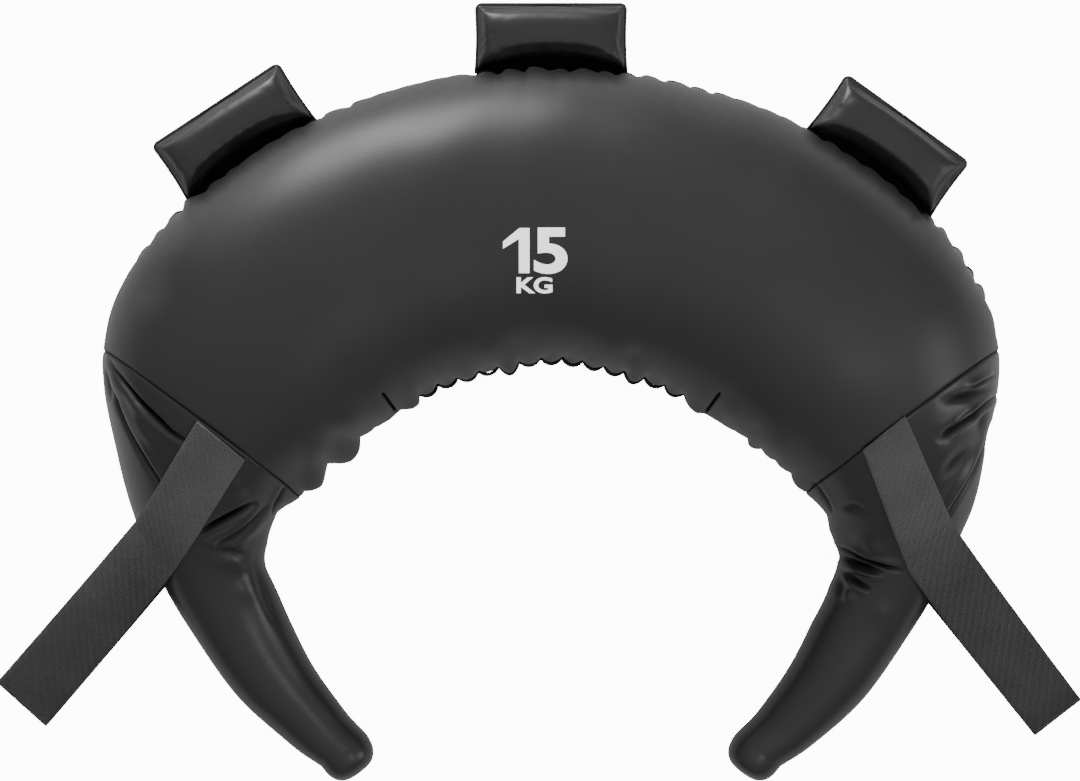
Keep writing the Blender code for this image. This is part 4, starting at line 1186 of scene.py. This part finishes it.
def add_handle(label, station, number):
    frame_values = handle_frame(station)
    hinge, _, outwards = frame_values
    columns = graded(HANDLE_LENGTH, EDGE_POINT_STEP, HANDLE_STEP) - HANDLE_LENGTH / 2
    depth = HANDLE_REACH + NECK_REACH
    rows = graded(depth, EDGE_POINT_STEP, HANDLE_STEP) / depth
    base_y, base_z = seam_under(station, *frame_values, columns)
    low = roll_low(columns, base_y)[:, None]
    start = low - ROLL_LAP
    x = np.broadcast_to(columns[:, None], (len(columns), len(rows)))
    x, y = round_corners(x, start + (HANDLE_REACH - start) * rows[None])
    half = roll_height(x, y, low, number)
    half[:, 0] *= ROLL_BASE_SHARE
    share = np.clip((HANDLE_REACH - y) / (HANDLE_REACH - base_y[:, None]), 0, 1)
    hollow = 1 - HANDLE_HOLLOW_SHARE * np.abs(2 * x / HANDLE_LENGTH) ** 5 * 4 * share * (1 - share)
    points = two_sheets(station, x * hollow, y, base_z[:, None] * share, half)
    stem = "handle_" + label
    item = grid_object(stem + "_leather", points, closed=True, merge=HANDLE_MERGE)
    put_back(editable(item.data), item.data)
    from_edge = edge_distance(x, y)
    held = np.concatenate((from_edge, from_edge[:, ::-1]), axis=1) < BEAD_SETBACK
    inflate(item, points[held])
    swing = (tuple(hinge - outwards * SWING_INSIDE), tuple(hinge + outwards * SWING_OUTSIDE))
    blend = ("bag", stem, *swing)
    finish_piece(item, ROLL, "leather", stem + "_cover", stem + "_foam", stem + "_rope", blend=blend)
    add_tab(stem, station, frame_values, blend)


def add_tab(stem, station, frame_values, blend):
    """The webbing that joins a roll to the seam: a thin strip from inside the body into the roll, near-black
    as painted shade under the roll.
    """
    columns = graded(HANDLE_LENGTH - TAB_SHORTER, TAB_EDGE_STEP, TAB_STEP)
    columns -= columns[-1] / 2
    base_y, base_z = seam_under(station, *frame_values, columns)
    shares = np.linspace(0, 1, TAB_ROWS)
    start = base_y[:, None] - TAB_INSIDE
    end = roll_low(columns, base_y)[:, None] + TAB_OVERLAP
    y = start + (end - start) * shares
    x = np.broadcast_to(columns[:, None], y.shape)
    share = np.clip((HANDLE_REACH - y) / (HANDLE_REACH - base_y[:, None]), 0, 1.2)
    points = two_sheets(station, x, y, base_z[:, None] * share, TAB_HALF)
    places = np.concatenate((y, y[:, ::-1]), axis=1)
    layer = np.stack((np.concatenate((x, x), axis=1), places), -1)
    item = grid_object(stem + "_webbing_tab", points, closed=True, layer=layer)
    bm = editable(item.data)
    ring = 2 * TAB_ROWS
    for row in (0, len(columns) - 1):
        loop = [bm.verts[row * ring + i] for i in range(ring)]
        for i in range(TAB_ROWS - 1):
            bm.faces.new((loop[i], loop[i + 1], loop[ring - 2 - i], loop[ring - 1 - i]))
    put_back(bm, item.data)
    finish_piece(item, PAINTED_SHADE_BLACK, "webbing", stem + "_tab", blend=blend)


# Cloth simulation: a cover swells until it is tight round its padding
HANDLE_SWELL = 0.0025
HANDLE_PRESSURE = 4.0
HANDLE_SHRINK = 0.010
SWELL_FRAMES = 20


def inflate(item, held_points):
    """Blows a cover up from inside, its seams held and the way of each point kept under a limit."""
    mesh = item.data
    before = np.zeros(len(mesh.vertices) * 3, np.float32)
    mesh.vertices.foreach_get("co", before)
    before = before.reshape(-1, 3)
    held_keys = {tuple(np.round(point, 5)) for point in held_points}
    held = [i for i, point in enumerate(before) if tuple(np.round(point.astype(float), 5)) in held_keys]
    group = item.vertex_groups.new(name="held")
    group.add(held, 1.0, "REPLACE")
    cloth = item.modifiers.new("cloth", "CLOTH")
    settings = cloth.settings
    settings.quality = 8
    settings.mass = 0.1
    settings.tension_stiffness = 30.0
    settings.compression_stiffness = 30.0
    settings.shear_stiffness = 10.0
    settings.bending_stiffness = 0.05
    settings.shrink_min = HANDLE_SHRINK
    settings.use_pressure = True
    settings.uniform_pressure_force = HANDLE_PRESSURE
    settings.vertex_group_mass = "held"
    settings.effector_weights.gravity = 0.0
    cloth.collision_settings.use_collision = False
    scene = bpy.context.scene
    for number in range(1, SWELL_FRAMES + 1):
        scene.frame_set(number)
    graph = bpy.context.evaluated_depsgraph_get()
    result = item.evaluated_get(graph).to_mesh()
    after = np.zeros(len(mesh.vertices) * 3, np.float32)
    result.vertices.foreach_get("co", after)
    way = after.reshape(-1, 3) - before
    length = np.linalg.norm(way, axis=1, keepdims=True)
    limited = way * np.minimum(1.0, HANDLE_SWELL / np.maximum(length, 1e-9))
    item.modifiers.remove(cloth)
    item.vertex_groups.remove(group)
    mesh.vertices.foreach_set("co", (before + limited).ravel())
    mesh.update()
    scene.frame_set(1)


for number, (label, station) in enumerate(HANDLES):
    add_handle(label, station, number)


# Straps: one webbing each, from the cuff seam over the horn to the crease, out to the tip and back
STRAP_PIXELS = {
    "left": (((198, 421), (244, 459)), ((138, 521), (176, 568)), ((1, 679), (49, 722))),
    "right": (((905, 417), (864, 450)), ((953, 527), (908, 569)), ((1077, 696), (1032, 731))),
}
WEB_WALL = 0.0022
WEB_COLUMNS = 15
BAND_STEPS = 60
LAYER_STEPS = 60
REAR_STEPS = 30
TIP_STEPS = 10
TIP_RADIUS = 0.0030
TIP_HEIGHT = 0.0012
TIP_MIDDLE = 0.0035
WEB_CLEARANCE = 0.0006
FLOOR_CLEARANCE = 0.0002
WEB_HALF_WIDTH = 0.025
WEB_EDGE_PLACE = 0.0262
WEB_EDGE_SHARE = 0.6
SMOOTH_ROUNDS = 6
REAR_SHARE = 0.45
LAND_SHARE = 0.45
PULL_SHARE = 0.22
ROOT_SHARE = 0.25
TIP_FLAT_SHARE = 0.6


def skin_hit(pixel):
    place, normal, _, _ = SKIN_TREE.ray_cast(CAMERA_PLACE, pixel_direction(pixel).normalized())
    return np.array(place), np.array(normal)


def off_skin(place, normal):
    return place + normal * (WEB_WALL / 2 + WEB_CLEARANCE)


def strap_rows(label):
    """Middle lines of the band in front, row by row from the cuff seam, and of the loop's tip."""
    shares = np.linspace(0, 1, WEB_COLUMNS)[:, None]
    seam, crease, tip = [a + (b - a) * shares for a, b in np.array(STRAP_PIXELS[label], float)]
    rows = [seam + (crease - seam) * t for t in np.arange(BAND_STEPS + 1) / BAND_STEPS]
    band = np.array([[off_skin(*skin_hit(pixel)) for pixel in row] for row in rows])
    return band, np.array([np.array(pixel_at_height(pixel, TIP_MIDDLE)) for pixel in tip])


def smooth_rows(rows, rounds):
    rows = rows.copy()
    for _ in range(rounds):
        rows[1:-1] = (rows[:-2] + 2 * rows[1:-1] + rows[2:]) / 4
        rows[:, 1:-1] = (rows[:, :-2] + 2 * rows[:, 1:-1] + rows[:, 2:]) / 4
    return rows


def cubic(a, b, c, d, steps):
    """Points of a curve from a to d, drawn towards b and then c."""
    early = a * (1 - steps) ** 3 + b * 3 * steps * (1 - steps) ** 2
    return early + c * 3 * steps ** 2 * (1 - steps) + d * steps ** 3


def add_strap(label):
    """The webbing's band, loop and end in one: over the horn, out to the tip, back and under."""
    band, tip = strap_rows(label)
    band = smooth_rows(band, SMOOTH_ROUNDS)
    rear = rear_rows(band)
    root = band[-1]
    heading = unit(tip - root)
    low = TIP_HEIGHT + WEB_WALL / 2
    steps = np.linspace(0, 1, LAYER_STEPS + 1)[1:, None, None]
    start_slope = unit(band[-1] - band[-4])
    pull = (np.linalg.norm((tip - root)[:, :2], axis=1) * PULL_SHARE)[:, None]
    top_end = tip.copy()
    top_end[:, 2] = low + 2 * TIP_RADIUS
    flat = unit((top_end - root) * np.array((1, 1, 0)))
    control_a = root + (start_slope * ROOT_SHARE + heading * (1 - ROOT_SHARE)) * pull
    control_b = top_end - (flat * TIP_FLAT_SHARE + heading * (1 - TIP_FLAT_SHARE)) * pull
    top = cubic(root, control_a, control_b, top_end, steps)
    turns = np.linspace(0, math.pi, TIP_STEPS + 1)[1:-1, None, None]
    up = np.array((0, 0, TIP_RADIUS))
    tip_fold = top_end - up + flat * np.sin(turns) * TIP_RADIUS + up * np.cos(turns)
    bottom_end = top_end - 2 * up
    land = bottom_end + (rear[0] - bottom_end) * np.array((LAND_SHARE, LAND_SHARE, 0))
    land[:, 2] = low
    control_c = land + (rear[0] - land) * np.array((LAND_SHARE, LAND_SHARE, 0))
    control_d = rear[0] + flat * 0.012 - np.array((0, 0, 0.006))
    along_floor = bottom_end + (land - bottom_end) * steps
    rise = cubic(land, control_c, control_d, rear[0], steps)
    stem = "strap_" + label
    middle = np.concatenate((band, top, tip_fold, along_floor[2:], rise, rear[1:]))
    item = webbing_object(stem + "_webbing", middle)
    crease = root.mean(axis=0)
    away = flat.mean(axis=0)
    blend = ("bag", stem, tuple(crease - away * 0.004), tuple(crease + away * 0.026))
    finish_piece(item, WEBBING, "webbing", stem + "_band", stem + "_loop", blend=blend)
    add_stitches(stem + "_stitches", band)


def rear_rows(band):
    """The webbing's end under the horn, below the front band."""
    rows = []
    for i in range(REAR_STEPS + 1):
        row = []
        for point in band[-1 - int(i / REAR_STEPS * BAND_STEPS * REAR_SHARE)]:
            place, normal, _, _ = SKIN_TREE.ray_cast(Vector((point[0], point[1], -1.0)), Vector((0, 0, 1)))
            row.append(off_skin(np.array(place), np.array(normal)))
        rows.append(row)
    rows = smooth_rows(np.array(rows), SMOOTH_ROUNDS)
    rows[..., 2] = np.maximum(rows[..., 2], WEB_WALL / 2 + FLOOR_CLEARANCE)
    return rows


def webbing_object(name, middle):
    """A webbing of constant thickness with round edges about its middle surface."""
    along = running(np.linalg.norm(np.diff(middle.mean(axis=1), axis=0), axis=1))
    columns = middle.shape[1]
    across = np.linspace(-WEB_HALF_WIDTH, WEB_HALF_WIDTH, columns)
    tangent = unit(np.gradient(middle, axis=0))
    sideways = unit(np.gradient(middle, axis=1))
    normal = unit(np.cross(tangent, sideways))
    half = WEB_WALL / 2
    edge = half * WEB_EDGE_SHARE
    first = middle[:, :1] - sideways[:, :1] * edge
    last = middle[:, -1:] + sideways[:, -1:] * edge
    lower = middle - normal * half
    points = np.concatenate((first, middle + normal * half, last, lower[:, ::-1]), axis=1)
    places = np.concatenate(([-WEB_EDGE_PLACE], across, [WEB_EDGE_PLACE], across[::-1]))
    layer = np.stack(np.broadcast_arrays(along[:, None], places[None]), -1)
    item = grid_object(name, points, closed=True, layer=layer)
    bm = editable(item.data)
    count = points.shape[1]
    for row in (0, points.shape[0] - 1):
        ring = [bm.verts[row * count + i] for i in range(count)]
        top, bottom = ring[1:columns + 1], ring[columns + 2:][::-1]
        bm.faces.new((ring[0], top[0], bottom[0]))
        bm.faces.new((ring[columns + 1], bottom[-1], top[-1]))
        for i in range(columns - 1):
            bm.faces.new((top[i], top[i + 1], bottom[i + 1], bottom[i]))
    put_back(bm, item.data)
    return item


# Rows of stitches where each strap leaves the horn
STITCH_BAND_ROWS = (-2, -5)
STITCH_LENGTH = 0.0026
STITCH_GAP = 0.0008
STITCH_RADIUS = 0.00032
STITCH_STEPS = 6
STITCH_SIDES = 6


def stitch_rings(first, along, lift, side):
    """Rings of one short thread: an arched tube, thinner at both ends."""
    steps = np.linspace(0, 1, STITCH_STEPS + 1)
    arch = np.sin(math.pi * steps)
    rise = arch ** 0.5 * 0.9 - 0.5
    path = first + along * (steps * STITCH_LENGTH)[:, None] + lift * (rise * STITCH_RADIUS)[:, None]
    turns = 2 * math.pi * np.arange(STITCH_SIDES) / STITCH_SIDES
    ring = np.cos(turns)[:, None] * side + np.sin(turns)[:, None] * lift
    return path[:, None] + ring[None] * STITCH_RADIUS * (0.45 + 0.55 * arch)[:, None, None]


def add_stitches(name, band):
    """Stitches across the webbing, from edge to edge, where it leaves the horn."""
    normals = unit(np.cross(np.gradient(band, axis=0), np.gradient(band, axis=1)))
    normals *= np.sign(normals[..., 2:])
    points, faces = [], []
    for row in STITCH_BAND_ROWS:
        path = band[row, 1:-1] + normals[row, 1:-1] * (WEB_WALL / 2 + STITCH_RADIUS * 0.6)
        for start, end, lift in zip(path[:-1], path[1:], normals[row, 1:-2]):
            length = np.linalg.norm(end - start)
            along = (end - start) / length
            side = unit(np.cross(along, lift))
            count = max(1, int(length / (STITCH_LENGTH + STITCH_GAP)))
            for i in range(count):
                first = start + along * (i + 0.15) * length / count
                base = len(points)
                points.extend(stitch_rings(first, along, lift, side).reshape(-1, 3).tolist())
                for corner in range(base, base + STITCH_STEPS * STITCH_SIDES, STITCH_SIDES):
                    for k in range(STITCH_SIDES):
                        low = (corner + k, corner + (k + 1) % STITCH_SIDES)
                        faces.append((*low, low[1] + STITCH_SIDES, low[0] + STITCH_SIDES))
                faces.append([base + k for k in reversed(range(STITCH_SIDES))])
                faces.append([base + STITCH_STEPS * STITCH_SIDES + k for k in range(STITCH_SIDES)])
    mesh = bpy.data.meshes.new(name)
    mesh.from_pydata(points, [], faces)
    mesh.shade_smooth()
    finish_piece(linked(name, mesh), THREAD, "webbing")


for label in ("left", "right"):
    add_strap(label)


# Print: a plain weight mark
PRINT_HEIGHT = 0.00025
PRINTS = (
    ("weight_tens", None, (503, 228), (529.5, 273)),
    ("weight_ones", "5", (534, 227.5), (567.5, 273.8)),
    ("weight_unit", "KG", (516.5, 277), (552.5, 293.2)),
)
ONE_SHARES = ((0.0, 0.70), (0.62, 1.0), (1.0, 1.0), (1.0, 0.0), (0.60, 0.0), (0.60, 0.76), (0.0, 0.54))
PRINT_STEP = 0.0015
PRINT_ROUNDS = 4


def glyph_mesh(name, text):
    """Flat outline of letters, or of a plain figure one with a slanted flag."""
    if text is None:
        flat = bpy.data.meshes.new(name)
        flat.from_pydata([(x, y, 0.0) for x, y in ONE_SHARES], [], [range(len(ONE_SHARES))])
        return flat
    curve = bpy.data.curves.new(name, "FONT")
    curve.body = text
    curve.offset = 0.03
    curve.resolution_u = 8
    source = linked(name + "_outline", curve)
    bpy.context.view_layer.update()
    flat = bpy.data.meshes.new_from_object(source.evaluated_get(bpy.context.evaluated_depsgraph_get()))
    bpy.data.objects.remove(source)
    return flat


def add_print(name, text, low, high):
    """Letters laid on the front panel, between two corners of the photograph."""
    flat = glyph_mesh(name, text)
    bm = editable(flat)
    bmesh.ops.triangulate(bm, faces=bm.faces)
    corners = np.array([v.co[:] for v in bm.verts])
    lowest, size = corners.min(axis=0)[:2], np.ptp(corners, axis=0)[:2]
    scale = (np.array(high) - low) * MID_PIXEL / size
    for vert in bm.verts:
        vert.co.x = (vert.co.x - lowest[0]) * scale[0]
        vert.co.y = (vert.co.y - lowest[1]) * scale[1]
    for _ in range(PRINT_ROUNDS):
        long_edges = [edge for edge in bm.edges if edge.calc_length() > PRINT_STEP]
        if long_edges:
            bmesh.ops.subdivide_edges(bm, edges=long_edges, cuts=1)
            bmesh.ops.triangulate(bm, faces=bm.faces)
    for vert in bm.verts:
        place, normal = skin_hit((low[0] + vert.co.x / MID_PIXEL, high[1] - vert.co.y / MID_PIXEL))
        vert.co = place + normal * PRINT_HEIGHT
    put_back(bm, flat, outwards=False)
    finish_piece(linked(name, flat), PRINT, "leather")


for row in PRINTS:
    add_print(*row)


# Welt: a thin dark edge of the rear panel that stands out of the outer seam; its near-black finish is
# painted shade along the seam
WELT_RADIUS = 0.0009
WELT_OUT = 0.0011
WELT_STEP = 0.0015
WELT_SIDES = 8


def add_welt():
    stations = panel_stations()[2:-2]
    middle = np.full_like(stations, OUTER_SEAM_ANGLE)
    upper, _ = skin(1, stations, middle + 0.02)
    lower, _ = skin(-1, stations, -(middle + 0.02) + 2 * OUTER_SEAM_ANGLE)
    path = (upper + lower) / 2 + outward(station_values(stations)[:, 5]) * WELT_OUT
    path, _ = resample(path, WELT_STEP)
    ring = tube_rings(path, WELT_SIDES)
    item = grid_object("outer_seam_welt", path[:, None] + ring * WELT_RADIUS, closed=True)
    finish_piece(item, PAINTED_SHADE_BLACK, "leather")


# Stage: floor, world, lights and camera
FLOOR_GLOW = 0.05
FLOOR_GLOW_SEEN = 12.0
WORLD_LOW = 0.12
WORLD_HIGH = 0.76
# Each light: the pixel where its highlight lies, its distance, size and power
LIGHTS = (
    ("key", (386, 136), 2.6, 1.25, 72.0),
    ("right", (944, 372), 2.4, 1.2, 12.0),
    ("middle", (268, 660), 2.2, 0.5, 2.5),
)
PROBE_REACH = 12


def add_floor():
    mesh = bpy.data.meshes.new("floor")
    bm = bmesh.new()
    bmesh.ops.create_grid(bm, x_segments=1, y_segments=1, size=6.0)
    bm.to_mesh(mesh)
    bm.free()
    material, tree, shader = new_material("floor", (0.86, 0.86, 0.86), 0.9)
    shader["Emission Color"].default_value = (1.0, 1.0, 1.0, 1.0)
    seen = add_node(tree, "LightPath", "Is Camera Ray")
    feed(tree, shader["Emission Strength"], ramp(tree, seen, FLOOR_GLOW, FLOOR_GLOW_SEEN))
    feed(tree, shader["Roughness"], ramp(tree, noise(tree, 40.0, 3.0, 0.5), 0.86, 0.94))
    mesh.materials.append(material)
    linked("floor", mesh)


def add_light(name, pixel, distance, size, power):
    """A square soft light whose mirror image lies at a pixel of the skin."""
    places, normals = [], []
    for dx in (-PROBE_REACH, 0, PROBE_REACH):
        for dy in (-PROBE_REACH, 0, PROBE_REACH):
            place, normal = skin_hit((pixel[0] + dx, pixel[1] + dy))
            places.append(place)
            normals.append(normal)
    place = np.mean(places, axis=0)
    normal = unit(np.mean(normals, axis=0))
    to_eye = unit(np.array(CAMERA_PLACE) - place)
    mirrored = 2 * (normal @ to_eye) * normal - to_eye
    light = bpy.data.lights.new(name, "AREA")
    light.shape = "SQUARE"
    light.size = size
    light.energy = power
    item = linked(name, light)
    item.location = place + mirrored * distance
    item.rotation_mode = "QUATERNION"
    item.rotation_quaternion = Vector(-mirrored).to_track_quat("-Z", "Y")


def add_world():
    world = bpy.data.worlds.new("studio")
    world.use_nodes = True
    tree = world.node_tree
    background = tree.nodes["Background"].inputs
    background["Color"].default_value = (1.0, 1.0, 1.0, 1.0)
    direction = add_node(tree, "TexCoord", "Generated")
    height = add_node(tree, "SeparateXYZ", "Z", Vector=direction)
    feed(tree, background["Strength"], ramp(tree, height, WORLD_LOW, WORLD_HIGH))
    bpy.context.scene.world = world


def add_camera():
    camera = bpy.data.cameras.new("camera")
    camera.sensor_width = CAMERA_SENSOR
    camera.lens = CAMERA_LENS
    item = linked("camera", camera)
    item.location = CAMERA_PLACE
    bpy.context.scene.camera = item


add_floor()
add_world()
for row in LIGHTS:
    add_light(*row)
add_camera()
add_welt()
